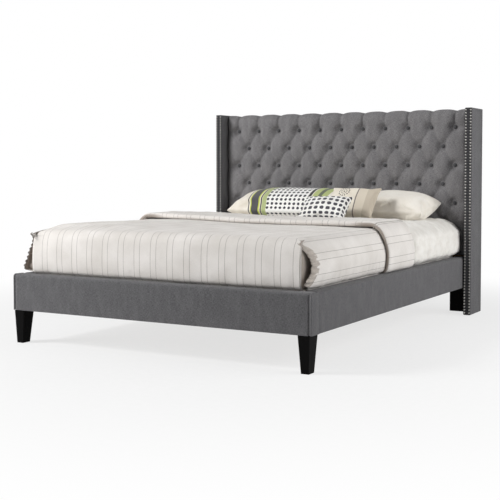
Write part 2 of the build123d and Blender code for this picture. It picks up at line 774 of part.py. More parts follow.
with BuildPart() as wood_screws:
    fastener(ledger_screw_seats + hanger_screw_seats, screw_head_radius, screw_head_height,
             screw_radius, screw_length)
save(wood_screws, "wood_screws")

with BuildPart() as centre_beam:
    block((-beam_width / 2, beam_width / 2), (beam_foot_y, beam_head_y), (beam_bottom_z, slat_bottom_z))
    for start in centre_bolt_starts:
        rod(start, (0, 0, 1), bolt_radius + bolt_clearance, hanger_bolt_length, Mode.SUBTRACT)
save(centre_beam, "centre_beam")

with BuildPart() as beam_hangers:
    for end_y, inward in hanger_ends:
        plate_y = (end_y, end_y + inward * hanger_plate)
        saddle_y = (end_y, end_y + inward * hanger_reach)
        cheek_x = beam_width / 2 + hanger_side_gap
        block((-hanger_width / 2, hanger_width / 2), plate_y, (hanger_top_z - hanger_height, hanger_top_z))
        block((-cheek_x - hanger_plate, cheek_x + hanger_plate), saddle_y,
              (beam_bottom_z - hanger_plate, beam_bottom_z))
        for side in (-1, 1):
            block((side * cheek_x, side * (cheek_x + hanger_plate)), saddle_y,
                  (beam_bottom_z, beam_bottom_z + hanger_side_height))
    fastener_holes(hanger_screw_seats, screw_radius, screw_length)
save(beam_hangers, "beam_hangers")

for number, leg_y in enumerate(centre_leg_ys, start=1):
    with BuildPart() as centre_leg:
        half = centre_leg_size / 2
        block((-half, half), (leg_y - half, leg_y + half), (levelling_foot_height, beam_bottom_z))
        for start in centre_bolt_starts:
            rod(start, (0, 0, 1), bolt_radius + bolt_clearance, hanger_bolt_length, Mode.SUBTRACT)
        rod((0, leg_y, levelling_foot_height - overrun), (0, 0, 1), levelling_stem_radius + thread_clearance,
            levelling_bore_depth + overrun, Mode.SUBTRACT)
    save(centre_leg, f"centre_leg_{number}")

    with BuildPart() as levelling_foot:
        rod((0, leg_y, 0), (0, 0, 1), levelling_foot_radius, levelling_foot_height)
        rod((0, leg_y, levelling_foot_height), (0, 0, 1), levelling_stem_radius, levelling_stem_length)
    save(levelling_foot, f"levelling_foot_{number}")

slat_x = rail_inner_x - slat_end_gap
slat_run = (slat_count - 1) * slat_pitch
slat_first_y = (foot_rail_inner_y + panel_front_y - slat_run) / 2
for number in range(1, slat_count + 1):
    slat_y = slat_first_y + (number - 1) * slat_pitch
    with BuildPart() as slat:
        block((-slat_x, slat_x), (slat_y - slat_width / 2, slat_y + slat_width / 2),
              (slat_bottom_z, slat_top_z))
    save(slat, f"slat_{number:02d}")

with BuildPart() as slat_straps:
    for side in (-1, 1):
        block((side * (strap_offset - strap_width / 2), side * (strap_offset + strap_width / 2)),
              (slat_first_y - slat_width / 2, slat_first_y + slat_run + slat_width / 2),
              (slat_bottom_z - strap_thickness, slat_bottom_z))
save(slat_straps, "slat_straps")


# Rows of pillows and cushions, from the headboard towards the foot

back_row_reach = banded_pillow_depth * math.cos(math.radians(banded_pillow_tilt)) / 2
back_row_y = pad_front_y - back_row_reach
back_row_front_y = back_row_y - back_row_reach
banded_left_x = -mattress_width / 2 + banded_pillow_edge_inset
banded_right_x = banded_left_x + banded_pillow_width
white_left_x = banded_right_x + pillow_row_gap
white_right_x = mattress_width / 2 - white_pillow_edge_inset
beige_reach = (beige_cushion_depth * math.cos(math.radians(beige_cushion_tilt))
               + beige_cushion_thickness * math.sin(math.radians(beige_cushion_tilt))) / 2
beige_y = back_row_front_y + beige_cushion_lean - beige_reach
dotted_reach = (dotted_cushion_depth * math.cos(math.radians(dotted_cushion_tilt))
                + dotted_cushion_thickness * math.sin(math.radians(dotted_cushion_tilt))) / 2
dotted_y = beige_y - beige_reach + 2 * cushion_row_overlap - dotted_reach
dotted_front_y = dotted_y - dotted_reach + cushion_row_overlap


# Mattress and bedding


def rounded_slab(x_half, y_limits, z_limits, corner_radius, edge_radius, mode=Mode.ADD):
    """A slab with round corners in plan and rounded top edges."""
    with BuildPart(mode=Mode.PRIVATE) as slab:
        with BuildSketch(Plane.XY.offset(z_limits[0])):
            with Locations((0, (y_limits[0] + y_limits[1]) / 2)):
                RectangleRounded(2 * x_half, y_limits[1] - y_limits[0], corner_radius)
        extrude(amount=z_limits[1] - z_limits[0])
        fillet(slab.faces().sort_by(Axis.Z)[-1].edges(), edge_radius)
    add(slab.part, mode=mode)


with BuildPart() as mattress:
    rounded_slab(mattress_width / 2, (mattress_foot_y, mattress_head_y), (slat_top_z, mattress_top_z),
                 mattress_corner_radius, mattress_edge_radius)
    fillet(mattress.faces().sort_by(Axis.Z)[0].edges(), mattress_edge_radius / 2)
save(mattress, "mattress")

pad_cover_in = soft_gap
pad_cover_out = pad_cover_in + pad_cover_side
pad_cover_top_z = mattress_top_z + soft_gap + pad_cover_top

with BuildPart() as mattress_pad:
    rounded_slab(mattress_width / 2 + pad_cover_out, (mattress_foot_y - pad_cover_out,
                 mattress_head_y + pad_cover_out), (skirt_z, pad_cover_top_z),
                 mattress_corner_radius + pad_cover_out, pad_cover_edge_radius)
    rounded_slab(mattress_width / 2 + pad_cover_in, (mattress_foot_y - pad_cover_in,
                 mattress_head_y + pad_cover_in), (skirt_z - overrun, mattress_top_z + soft_gap),
                 mattress_corner_radius + pad_cover_in, mattress_edge_radius, Mode.SUBTRACT)
save(mattress_pad, "mattress_pad")

coverlet_in = pad_cover_out + soft_gap
coverlet_out = coverlet_in + coverlet_side
coverlet_top_z = pad_cover_top_z + soft_gap + coverlet_top
cuff_front_y = foot_rail_inner_y + cuff_front
cuff_back_y = dotted_front_y - cuff_cushion_gap
cuff_length = cuff_back_y - cuff_front_y
coverlet_end_y = cuff_back_y


def draped_cover(tuck, bulge, top_z, edge_radius, corner_radius, end_y):
    """The outside of a cover that is tucked behind the rails and bulges out over them."""
    tuck_x = mattress_width / 2 + tuck
    side_x = tuck_x + bulge
    lip_x = tuck_x + drop_lip_share * bulge
    foot_tuck_y = mattress_foot_y - tuck
    foot_side_y = foot_tuck_y - bulge
    foot_lip_y = foot_tuck_y - drop_lip_share * bulge
    drop_z = rail_top_z + drop_above_rail
    lip_z = drop_z + drop_lip_rise
    side_z = rail_top_z + drop_rise
    shoulder_z = top_z - edge_radius
    with BuildPart(mode=Mode.PRIVATE) as cover:
        with BuildSketch(Plane(origin=(0, foot_side_y, 0), x_dir=(1, 0, 0), z_dir=(0, -1, 0))):
            with BuildLine():
                right = Polyline((tuck_x, skirt_z), (tuck_x, drop_z), (lip_x, lip_z), (side_x, side_z),
                                 (side_x, shoulder_z))
                right_roll = TangentArc(right @ 1, (side_x - edge_radius, top_z), tangent=(0, 1))
                left = Polyline((-tuck_x, skirt_z), (-tuck_x, drop_z), (-lip_x, lip_z), (-side_x, side_z),
                                (-side_x, shoulder_z))
                left_roll = TangentArc(left @ 1, (-side_x + edge_radius, top_z), tangent=(0, 1))
                Line(right_roll @ 1, left_roll @ 1)
                Line(right @ 0, left @ 0)
            make_face()
        extrude(amount=-(end_y - foot_side_y))
        with BuildSketch(Plane(origin=(-rail_outer_x, 0, 0), x_dir=(0, 1, 0), z_dir=(1, 0, 0))):
            with BuildLine():
                foot = Polyline((foot_tuck_y, skirt_z), (foot_tuck_y, drop_z), (foot_lip_y, lip_z),
                                (foot_side_y, side_z), (foot_side_y, shoulder_z))
                foot_roll = TangentArc(foot @ 1, (foot_side_y + edge_radius, top_z), tangent=(0, 1))
                Polyline(foot_roll @ 1, (end_y + overrun, top_z), (end_y + overrun, skirt_z), foot @ 0)
            make_face()
        extrude(amount=2 * rail_outer_x, mode=Mode.INTERSECT)
        with BuildSketch(Plane.XY.offset(skirt_z)):
            with Locations((0, (foot_side_y + end_y) / 2)):
                Rectangle(2 * side_x, end_y - foot_side_y)
            fillet(vertices().group_by(Axis.Y)[0], corner_radius)
        extrude(amount=top_z - skirt_z, mode=Mode.INTERSECT)
    return cover.part


fold_inset = coverlet_corner_radius * (1 - math.cos(math.pi / 4))
fold_x = mattress_width / 2 + coverlet_out + coverlet_bulge - fold_inset
fold_y = mattress_foot_y - coverlet_out - coverlet_bulge + fold_inset

with BuildPart() as coverlet:
    add(draped_cover(coverlet_out, coverlet_bulge, coverlet_top_z, coverlet_edge_radius,
                     coverlet_corner_radius, coverlet_end_y))
    rounded_slab(mattress_width / 2 + coverlet_in, (mattress_foot_y - coverlet_in,
                 mattress_head_y + coverlet_in), (skirt_z - overrun, pad_cover_top_z + soft_gap),
                 mattress_corner_radius + coverlet_in, pad_cover_edge_radius, Mode.SUBTRACT)
    for side in (-1, 1):
        with Locations(Location((side * fold_x, fold_y, skirt_z + corner_fold_height / 2 - overrun),
                                (0, 0, side * 45))):
            Box(corner_fold_width, 2 * corner_fold_depth, corner_fold_height, mode=Mode.SUBTRACT)
save(coverlet, "coverlet")

cuff_in = coverlet_out + soft_gap
cuff_out = cuff_in + cuff_tuck
cuff_base_z = coverlet_top_z + soft_gap
cuff_crest_z = cuff_base_z + cuff_crest

with BuildPart() as folded_cover:
    add(draped_cover(cuff_out, cuff_bulge, cuff_crest_z, cuff_edge_radius, coverlet_corner_radius,
                     cuff_back_y + overrun))
    with BuildSketch(Plane(origin=(-wing_outer_x, cuff_front_y, 0), x_dir=(0, 1, 0), z_dir=(1, 0, 0))):
        with BuildLine():
            front = Line((0, skirt_z), (0, cuff_crest_z - cuff_front_roll))
            front_roll = TangentArc(front @ 1, (cuff_front_roll, cuff_crest_z), tangent=(0, 1))
            back = Line((cuff_length, skirt_z), (cuff_length, cuff_crest_z - cuff_back_roll))
            back_roll = TangentArc(back @ 1, (cuff_length - cuff_back_roll, cuff_crest_z), tangent=(0, 1))
            Line(front_roll @ 1, back_roll @ 1)
            Line(front @ 0, back @ 0)
        make_face()
    extrude(amount=2 * wing_outer_x, mode=Mode.INTERSECT)
    add(draped_cover(cuff_in, coverlet_bulge, cuff_base_z, coverlet_edge_radius, coverlet_corner_radius,
                     cuff_back_y + 2 * overrun), mode=Mode.SUBTRACT)
save(folded_cover, "folded_cover")


# Pillows and cushions


def make_pillow(node, width, depth, thickness, tilt, centre, rest_z, back_y=None):
    """A crowned pillow with drawn-in sides, pressed flat where it rests."""
    lean = math.radians(tilt)
    across = (1, 0, 0)
    up_face = (0, math.cos(lean), math.sin(lean))
    normal = (0, -math.sin(lean), math.cos(lean))
    half_width = width / 2
    half_depth = depth / 2
    half_edge = pillow_edge / 2
    with BuildPart() as pillow:
        with BuildSketch(Plane(origin=centre, x_dir=across, z_dir=normal)):
            with BuildLine():
                ThreePointArc((-half_width, -half_depth), (0, -half_depth + pillow_side_draw),
                              (half_width, -half_depth))
                ThreePointArc((half_width, -half_depth), (half_width - pillow_side_draw, 0),
                              (half_width, half_depth))
                ThreePointArc((half_width, half_depth), (0, half_depth - pillow_side_draw),
                              (-half_width, half_depth))
                ThreePointArc((-half_width, half_depth), (-half_width + pillow_side_draw, 0),
                              (-half_width, -half_depth))
            make_face()
        extrude(amount=thickness, both=True)
        for span, crown, reach, plane in (
                (half_width, thickness / 2, depth, Plane(origin=centre, x_dir=across, z_dir=up_face)),
                (half_depth, thickness / 2 + half_edge, width,
                 Plane(origin=centre, x_dir=up_face, z_dir=across))):
            flat = pillow_flat_share * span
            half = span + half_edge
            with BuildSketch(plane):
                with BuildLine():
                    upper = Line((-flat, crown), (flat, crown))
                    upper_right = TangentArc(upper @ 1, (half, half_edge), tangent=(1, 0))
                    right = Line(upper_right @ 1, (half, -half_edge))
                    lower = Line((-flat, -crown), (flat, -crown))
                    TangentArc(lower @ 1, right @ 1, tangent=(1, 0))
                    lower_left = TangentArc(lower @ 0, (-half, -half_edge), tangent=(-1, 0))
                    left = Line(lower_left @ 1, (-half, half_edge))
                    TangentArc(upper @ 0, left @ 1, tangent=(-1, 0))
                make_face()
            extrude(amount=reach, both=True, mode=Mode.INTERSECT)
        reach = width + depth
        block((centre[0] - reach, centre[0] + reach), (centre[1] - reach, centre[1] + reach),
              (rest_z + soft_gap - reach, rest_z + soft_gap), Mode.SUBTRACT)
        if back_y is not None:
            block((centre[0] - reach, centre[0] + reach), (back_y - soft_gap, back_y + reach),
                  (centre[2] - reach, centre[2] + reach), Mode.SUBTRACT)
    save(pillow, node)


def resting_height(depth, thickness, tilt, rest_z):
    """Height of a tilted pillow's middle whose underside is pressed flat on a surface."""
    lean = math.radians(tilt)
    face_drop = thickness / 2 * math.cos(lean) + pillow_flat_share * depth / 2 * math.sin(lean)
    edge_drop = pillow_edge / 2 * math.cos(lean) + depth / 2 * math.sin(lean)
    return rest_z + max(face_drop, edge_drop) - pillow_sink


make_pillow("banded_pillow", banded_pillow_width, banded_pillow_depth, banded_pillow_thickness,
            banded_pillow_tilt,
            ((banded_left_x + banded_right_x) / 2, back_row_y,
             resting_height(banded_pillow_depth, banded_pillow_thickness, banded_pillow_tilt,
                            pad_cover_top_z)),
            pad_cover_top_z, pad_front_y)
make_pillow("white_pillow", white_right_x - white_left_x, white_pillow_depth, white_pillow_thickness,
            white_pillow_tilt,
            ((white_left_x + white_right_x) / 2, back_row_y,
             resting_height(white_pillow_depth, white_pillow_thickness, white_pillow_tilt,
                            pad_cover_top_z)),
            pad_cover_top_z, pad_front_y)
make_pillow("beige_cushion", beige_cushion_width, beige_cushion_depth, beige_cushion_thickness,
            beige_cushion_tilt,
            (beige_cushion_place, beige_y,
             resting_height(beige_cushion_depth, beige_cushion_thickness, beige_cushion_tilt,
                            pad_cover_top_z)),
            pad_cover_top_z)
make_pillow("dotted_cushion", dotted_cushion_width, dotted_cushion_depth, dotted_cushion_thickness,
            dotted_cushion_tilt,
            (dotted_cushion_place, dotted_y,
             resting_height(dotted_cushion_depth, dotted_cushion_thickness, dotted_cushion_tilt,
                            pad_cover_top_z)),
            pad_cover_top_z)
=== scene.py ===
import math

import bmesh
import bpy
from mathutils import Matrix, Vector, noise


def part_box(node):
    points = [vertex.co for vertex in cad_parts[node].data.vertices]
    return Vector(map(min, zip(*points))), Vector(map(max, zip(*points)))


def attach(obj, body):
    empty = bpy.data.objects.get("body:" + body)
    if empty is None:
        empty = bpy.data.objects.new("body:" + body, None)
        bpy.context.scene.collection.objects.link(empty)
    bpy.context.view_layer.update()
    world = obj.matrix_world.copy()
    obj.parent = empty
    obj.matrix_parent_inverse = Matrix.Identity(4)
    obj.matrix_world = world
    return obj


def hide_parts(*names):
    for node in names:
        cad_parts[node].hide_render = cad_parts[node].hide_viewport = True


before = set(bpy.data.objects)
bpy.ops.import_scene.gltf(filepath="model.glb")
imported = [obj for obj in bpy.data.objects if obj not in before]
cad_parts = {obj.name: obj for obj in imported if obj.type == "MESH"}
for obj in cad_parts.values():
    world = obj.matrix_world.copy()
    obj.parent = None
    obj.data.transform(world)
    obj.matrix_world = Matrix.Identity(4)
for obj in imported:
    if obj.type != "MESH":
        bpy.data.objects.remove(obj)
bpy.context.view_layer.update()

UP = Vector((0, 0, 1))


def smooth(low, high, value):
    """0 below low, 1 above high, and a soft step between them."""
    share = min(max((value - low) / (high - low), 0.0), 1.0)
    return share * share * (3 - 2 * share)


def mix(a, b, share):
    """The value that lies a share of the way from a to b."""
    return a + (b - a) * share


def wobble(seed, *place):
    """Soft random hills between -1 and 1, the same on each run."""
    first, second = place
    return noise.noise(Vector((first, second, seed)))


# Shader maths


class Value:
    """A number that changes over a surface. Plain operators add the maths nodes."""

    def __init__(self, finish, socket):
        self.finish = finish
        self.socket = socket

    def maths(self, operation, *others):
        inputs = dict(enumerate((self, *others)))
        return self.finish.node("ShaderNodeMath", {"operation": operation}, inputs)

    def __add__(self, other):
        return self.maths("ADD", other)

    def __mul__(self, other):
        return self.maths("MULTIPLY", other)

    def __sub__(self, other):
        return self.maths("SUBTRACT", other)

    def __truediv__(self, other):
        return self.maths("DIVIDE", other)

    def __rsub__(self, other):
        return self.finish.node("ShaderNodeMath", {"operation": "SUBTRACT"}, {0: other, 1: self})

    __radd__ = __add__
    __rmul__ = __mul__

    def fraction(self):
        return self.maths("FRACT")

    def size(self):
        return self.maths("ABSOLUTE")

    def wave(self):
        return self.maths("SINE")

    def power(self, exponent):
        return self.maths("POWER", exponent)

    def ramp(self, low, high, first=0.0, last=1.0):
        """A soft step from first to last as the value goes from low to high."""
        return self.finish.node("ShaderNodeMapRange", {"interpolation_type": "SMOOTHSTEP"},
                                {"Value": self, "From Min": low, "From Max": high,
                                 "To Min": first, "To Max": last})

    def band(self, middle, half_width, softness):
        """1 inside a band of the value and 0 outside it."""
        return (self - middle).size().ramp(half_width - softness, half_width + softness, 1.0, 0.0)


class Nodes:
    """A node tree whose nodes are added one at a time and fed by values or links."""

    def __init__(self, tree):
        self.tree = tree

    def feed(self, socket, value):
        """Link a value to an input socket, or set a constant on it."""
        if isinstance(value, Value):
            self.tree.links.new(value.socket, socket)
        else:
            socket.default_value = value

    def node(self, kind, settings=None, inputs=None, output=0):
        """Add a node of a type, with its settings and its inputs, and give one output."""
        made = self.tree.nodes.new(kind)
        for setting, value in (settings or {}).items():
            setattr(made, setting, value)
        for socket, value in (inputs or {}).items():
            self.feed(made.inputs[socket], value)
        return Value(self, made.outputs[output])

    def seen_directly(self):
        """1 for what the camera sees, also in a reflection or through glass, and 0 for light."""
        path = self.node("ShaderNodeLightPath")
        rays = {socket.name: Value(self, socket) for socket in path.socket.node.outputs}
        seen = rays["Is Camera Ray"] + rays["Is Glossy Ray"] + rays["Is Transmission Ray"]
        return seen.maths("MINIMUM", 1.0)


class Finish(Nodes):
    """A material: its place on the piece, its patterns, and what feeds its surface."""

    def __init__(self, name, roughness=0.8, **sockets):
        self.material = bpy.data.materials.new(name)
        self.material.use_nodes = True
        super().__init__(self.material.node_tree)
        self.surface = self.tree.nodes["Principled BSDF"]
        self.feed(self.surface.inputs["Roughness"], roughness)
        for socket, value in sockets.items():
            self.feed(self.surface.inputs[socket.replace("_", " ")], value)

    def place(self, kind="UV"):
        """The point's place: UV for cloth that is laid out flat, Object for solid pieces."""
        return self.node("ShaderNodeTexCoord", output=kind)

    def parts(self, vector):
        """The three numbers of a vector."""
        split = self.node("ShaderNodeSeparateXYZ", inputs={"Vector": vector})
        return [Value(self, socket) for socket in split.socket.node.outputs]

    def stretched(self, vector, scale):
        return self.node("ShaderNodeMapping", inputs={"Vector": vector, "Scale": scale})

    def speckle(self, vector, scale, detail=2.0, roughness=0.5):
        return self.node("ShaderNodeTexNoise", {"normalize": True},
                         {"Vector": vector, "Scale": scale, "Detail": detail, "Roughness": roughness})

    def blend(self, share, first, second):
        """A colour between two colours."""
        return self.node("ShaderNodeMix", {"data_type": "RGBA"}, {0: share, 6: first, 7: second}, 2)

    def colour(self, value):
        self.feed(self.surface.inputs["Base Color"], value)

    def relief(self, height, depth, strength=1.0):
        """Raise and lower the surface; depth is in metres."""
        bump = self.node("ShaderNodeBump",
                         inputs={"Height": height, "Distance": depth, "Strength": strength})
        self.feed(self.surface.inputs["Normal"], bump)

    def rough(self, value):
        self.feed(self.surface.inputs["Roughness"], value)


def rgb(red, green, blue):
    """A colour from 0 to 255 values, as the shader wants it."""
    parts = []
    for value in (red, green, blue):
        share = value / 255
        parts.append(share / 12.92 if share <= 0.04045 else ((share + 0.055) / 1.055) ** 2.4)
    return (*parts, 1.0)


def threads(across, along, pitch):
    """Height of a plain weave with the given thread pitch, from 0 to 1."""
    turn = 2 * math.pi / pitch
    warp = (across * turn).wave()
    weft = (along * turn).wave()
    return (warp * weft) * 0.5 + 0.5


def grey_weave(name, kind="UV", light=(120, 119, 121), dark=(60, 60, 62), front=None):
    """Grey upholstery cloth with lighter and darker yarns in both directions.

    Where front is given, the cloth in front of that y is painted darker, as shade on the face that the nails
    sit on.
    """
    finish = Finish(name, roughness=0.92, Sheen_Weight=0.12, Sheen_Roughness=0.5, Specular_IOR_Level=0.2)
    place = finish.place(kind)
    across, along, up = finish.parts(place)
    second = along if kind == "UV" else up
    warp = finish.speckle(finish.stretched(place, (620, 75, 75)), 1.0, 3.0, 0.6)
    weft = finish.speckle(finish.stretched(place, (75, 620, 620)), 1.0, 3.0, 0.6)
    heather = finish.speckle(place, 210.0, 3.0, 0.65)
    shade = (warp + weft) * 0.36 + heather * 0.28
    mottled = shade.ramp(0.30, 0.70)
    slub = finish.speckle(finish.stretched(place, (30, 9, 9)), 1.0, 2.0).ramp(0.35, 0.75)
    colour = finish.blend(mottled * 0.86 + slub * 0.14, rgb(*dark), rgb(*light))
    if front is not None:
        # Painted shade: the face in front of that y is coloured darker for the shade it falls in.
        depth = finish.parts(finish.place("Object"))[1]
        band = finish.blend(mottled, rgb(34, 34, 36), rgb(70, 70, 72))
        colour = finish.blend(depth.ramp(front - 0.001, front + 0.001, 1.0, 0.0), colour, band)
    finish.colour(colour)
    weave = threads(across, second, 0.0032)
    finish.relief(weave * 0.6 + shade * 0.8, 0.0011, 0.8)
    finish.rough(0.98 - mottled * 0.12)
    return finish.material


class Cotton(Finish):
    """Woven cotton that is laid out flat, with soft clouds and uneven yarn."""

    def __init__(self, name, roughness, sheen, cloudiness, yarn_scale, cloud_roughness=0.5):
        super().__init__(name, roughness, Sheen_Weight=sheen, Sheen_Roughness=0.5)
        self.flat = self.place()
        self.across, self.along, _ = self.parts(self.flat)
        self.cloud = self.speckle(self.flat, cloudiness, 3.0, cloud_roughness)
        self.yarn = self.speckle(self.stretched(self.flat, yarn_scale), 1.0, 2.0)

    def shaded(self, dark, light):
        """The plain cloth's colour, between a dark and a light tone."""
        return self.blend(self.cloud.ramp(0.3, 0.7), rgb(*dark), rgb(*light))

    def painted(self, share, colour, tint):
        """A colour with a tint printed over it where the share is 1."""
        return self.blend(share, colour, rgb(*tint))

    def uneven_dots(self, counts, pitches, halves, squareness, raggedness):
        """1 in rows of rounded dots with ragged rims; counts are places in numbers of pitches."""
        power, root = squareness
        wide, tall = [((count.fraction() - 0.5) * pitch / half).size().power(power)
                      for count, pitch, half in zip(counts, pitches, halves)]
        ragged = self.speckle(self.flat, raggedness, 1.0) * 0.5 - 0.25
        return ((wide + tall).power(root) + ragged).ramp(0.92, 1.04, 1.0, 0.0)

    def woven(self, colour, pitch, weave, depth, dullness, strength=0.7, extra=0.0):
        """End the cloth: its colour, the relief of threads and yarn, and its uneven sheen."""
        self.colour(colour)
        height = threads(self.across, self.along, pitch) * weave + self.yarn * 0.5 + extra
        self.relief(height, depth, strength)
        dull, cloudy = dullness
        self.rough(dull - self.cloud * cloudy)
        return self.material


def plain_cloth(name, light, dark, pitch=0.0016, relief=0.0004, cloudiness=9.0):
    """A plain woven cloth with soft, cloudy shade."""
    cloth = Cotton(name, 0.88, 0.15, cloudiness, (900, 90, 90), 0.55)
    shade = (cloth.cloud * 0.6 + cloth.yarn * 0.4).ramp(0.3, 0.7)
    return cloth.woven(cloth.blend(shade, rgb(*dark), rgb(*light)), pitch, 0.7, relief, (0.93, 0.1))


def striped_cloth(name):
    """Ivory cotton with pairs of thin stitched stripes along the bed.

    Where the piece's "pleat" attribute is 1, the cloth is painted a darker taupe as shade.
    """
    pair_pitch = 0.0958
    pair_start = 0.64
    stripe_places = (0.0265, 0.0590)
    stripe_half = 0.0011
    stitch_length = 0.0085
    cloth = Cotton(name, 0.85, 0.12, 7.0, (1000, 120, 120))
    cross = cloth.speckle(cloth.stretched(cloth.flat, (100, 900, 900)), 1.0, 2.0)
    step = (cloth.across / pair_pitch + pair_start).fraction() * pair_pitch
    drift = cloth.speckle(cloth.stretched(cloth.flat, (0, 6, 0)), 1.0, 1.0) * 0.0016 - 0.0008
    first, second = [(step + drift).band(middle, stripe_half, 0.0005) for middle in stripe_places]
    stitches = (cloth.along / stitch_length).fraction().ramp(0.12, 0.3, 0.35, 1.0)
    lines = (first + second) * stitches
    shade = (cloth.cloud * 0.5 + cloth.yarn * 0.25 + cross * 0.25).ramp(0.3, 0.7)
    face = cloth.painted(lines * 0.72, cloth.blend(shade, rgb(209, 204, 198), rgb(231, 227, 223)),
                         (112, 103, 98))
    # Painted shade: a darker taupe for the hollows of the corner pleats and the front of the cuff's roll.
    lining = cloth.blend(cloth.cloud, rgb(142, 132, 124), rgb(168, 158, 149))
    inside = cloth.node("ShaderNodeAttribute", {"attribute_name": "pleat"}, output=2)
    return cloth.woven(cloth.blend(inside.ramp(0.2, 0.8), face, lining), 0.0018, 0.5, 0.0005, (0.9, 0.1),
                       extra=cross * 0.4 - lines * 0.9)


def banded_cloth(name, width):
    """Cream cotton with grey and green bands and a panel of dark ovals."""
    cloth = Cotton(name, 0.85, 0.12, 10.0, (900, 100, 100))
    run = cloth.across + width / 2
    panel = run.band(0.432, 0.143, 0.001)
    colour = cloth.painted(panel, cloth.shaded((222, 214, 200), (240, 234, 224)), (240, 239, 236))
    pitches = (0.0315, 0.038)
    ovals = cloth.uneven_dots((run / pitches[0], cloth.along / pitches[1]), pitches, (0.0098, 0.0125),
                              (2.0, 0.5), 90.0)
    colour = cloth.painted(ovals * panel, colour, (52, 51, 58))
    bands = (
        (0.152, 0.0040, (38, 37, 36)),
        (0.2020, 0.0370, (192, 202, 82)),
        (0.2010, 0.0275, (74, 74, 76)),
        (0.2500, 0.0045, (34, 34, 36)),
        (0.2730, 0.0160, (172, 182, 128)),
        (0.5860, 0.0100, (36, 36, 38)),
        (0.6500, 0.0480, (176, 188, 122)),
        (0.6500, 0.0120, (96, 102, 84)),
    )
    for middle, half, tint in bands:
        colour = cloth.painted(run.band(middle, half, 0.0012), colour, tint)
    return cloth.woven(colour, 0.0018, 0.5, 0.0005, (0.92, 0.12))


def dotted_cloth(name):
    """White cotton with rows of dark, slightly uneven dots."""
    cloth = Cotton(name, 0.85, 0.12, 12.0, (900, 100, 100))
    pitches = (0.0375, 0.0335)
    dots = cloth.uneven_dots((cloth.across / pitches[0] + 0.25, cloth.along / pitches[1] + 0.5), pitches,
                             (0.0128, 0.0112), (2.6, 0.4), 80.0)
    colour = cloth.painted(dots, cloth.shaded((230, 228, 224), (244, 243, 240)), (62, 61, 68))
    return cloth.woven(colour, 0.0018, 0.5, 0.0005, (0.92, 0.12))


def beige_cloth(name):
    """Cream cotton with one taupe line, a beige flap and a small ring of dots."""
    cloth = Cotton(name, 0.88, 0.15, 14.0, (800, 90, 90))
    across = cloth.across
    colour = cloth.painted(across.ramp(0.043, 0.045), cloth.shaded((222, 213, 197), (236, 229, 215)),
                           (214, 204, 187))
    colour = cloth.painted(across.ramp(0.095, 0.097), colour, (196, 185, 168))
    colour = cloth.painted(across.band(0.039, 0.0036, 0.0008), colour, (120, 110, 104))
    ring_across = across + 0.052
    ring_along = cloth.along - 0.058
    ring_dots = 13
    far = (ring_across * ring_across + ring_along * ring_along).power(0.5)
    turn = ring_along.maths("ARCTAN2", ring_across)
    spokes = (turn * (ring_dots / (2 * math.pi))).fraction().band(0.5, 0.26, 0.05)
    dots = far.band(0.033, 0.0046, 0.0012) * spokes + far.band(0.017, 0.0034, 0.0012) * spokes
    colour = cloth.painted(dots, colour, (70, 66, 62))
    colour = cloth.painted(far.band(0.0, 0.0055, 0.001), colour, (58, 55, 54))
    return cloth.woven(colour, 0.0022, 0.6, 0.0006, (0.94, 0.1), 0.8)


def wood(name, grain, light, dark, roughness=0.62, gloss=0.3):
    """Wood with its grain along one axis (0, 1 or 2)."""
    finish = Finish(name, roughness=roughness, Specular_IOR_Level=gloss)
    place = finish.place("Object")
    scale = [26.0, 26.0, 26.0]
    scale[grain] = 1.6
    figure = finish.speckle(finish.stretched(place, tuple(scale)), 1.0, 5.0, 0.6)
    fine = [420.0, 420.0, 420.0]
    fine[grain] = 12.0
    pores = finish.speckle(finish.stretched(place, tuple(fine)), 1.0, 2.0, 0.6)
    rings = ((figure * 9.0).fraction() - 0.5).size().ramp(0.05, 0.45)
    finish.colour(finish.blend(rings * 0.55 + pores * 0.35, rgb(*light), rgb(*dark)))
    finish.relief(pores * 0.7 + rings * 0.3, 0.0003, 0.6)
    finish.rough(pores * 0.2 + (roughness - 0.1))
    return finish.material


def metal(name, colour, roughness):
    """Metal with fine scratches and slightly uneven shine."""
    finish = Finish(name, roughness=roughness, Metallic=1.0)
    place = finish.place("Object")
    scuffs = finish.speckle(finish.stretched(place, (60, 60, 540)), 1.0, 4.0, 0.6)
    dull = finish.speckle(place, 40.0, 3.0)
    tint = tuple(part * 0.72 for part in colour[:3]) + (1.0,)
    finish.colour(finish.blend(dull.ramp(0.35, 0.7), colour, tint))
    finish.relief(scuffs, 0.00012, 0.6)
    finish.rough(scuffs * 0.18 + (roughness - 0.05))
    return finish.material


def moulded(name, colour, roughness):
    """Plastic or powder coat with a fine moulded grain."""
    finish = Finish(name, roughness=roughness)
    place = finish.place("Object")
    grain = finish.speckle(place, 900.0, 2.0)
    cloud = finish.speckle(place, 25.0, 3.0)
    lighter = tuple(min(part * 1.5 + 0.004, 1.0) for part in colour[:3]) + (1.0,)
    finish.colour(finish.blend(cloud.ramp(0.3, 0.75), colour, lighter))
    finish.relief(grain, 0.0001, 0.6)
    finish.rough(cloud * 0.15 + (roughness - 0.08))
    return finish.material


# Making and finishing pieces


def placed(name, data):
    """An object with the given mesh, lamp or camera data, in the scene."""
    made = bpy.data.objects.new(name, data)
    bpy.context.scene.collection.objects.link(made)
    return made


def mesh_from(name, bm):
    """A mesh from a bmesh, which is freed."""
    mesh = bpy.data.meshes.new(name)
    bm.to_mesh(mesh)
    bm.free()
    return mesh


def shade(piece, smooth_faces):
    """Shade a piece's faces smooth or flat."""
    for polygon in piece.data.polygons:
        polygon.use_smooth = smooth_faces


def stands_for(piece, node, body, material):
    """Give a piece its material and body, and hide the node it replaces."""
    piece.data.materials.clear()
    piece.data.materials.append(material)
    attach(piece, body)
    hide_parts(node)


def finished(bm, name, node, body, material, smooth_faces=True):
    """Turn a bmesh into a piece that replaces a node of the frame and rides on its body."""
    piece = placed(name, mesh_from(name, bm))
    shade(piece, smooth_faces)
    stands_for(piece, node, body, material)
    return piece


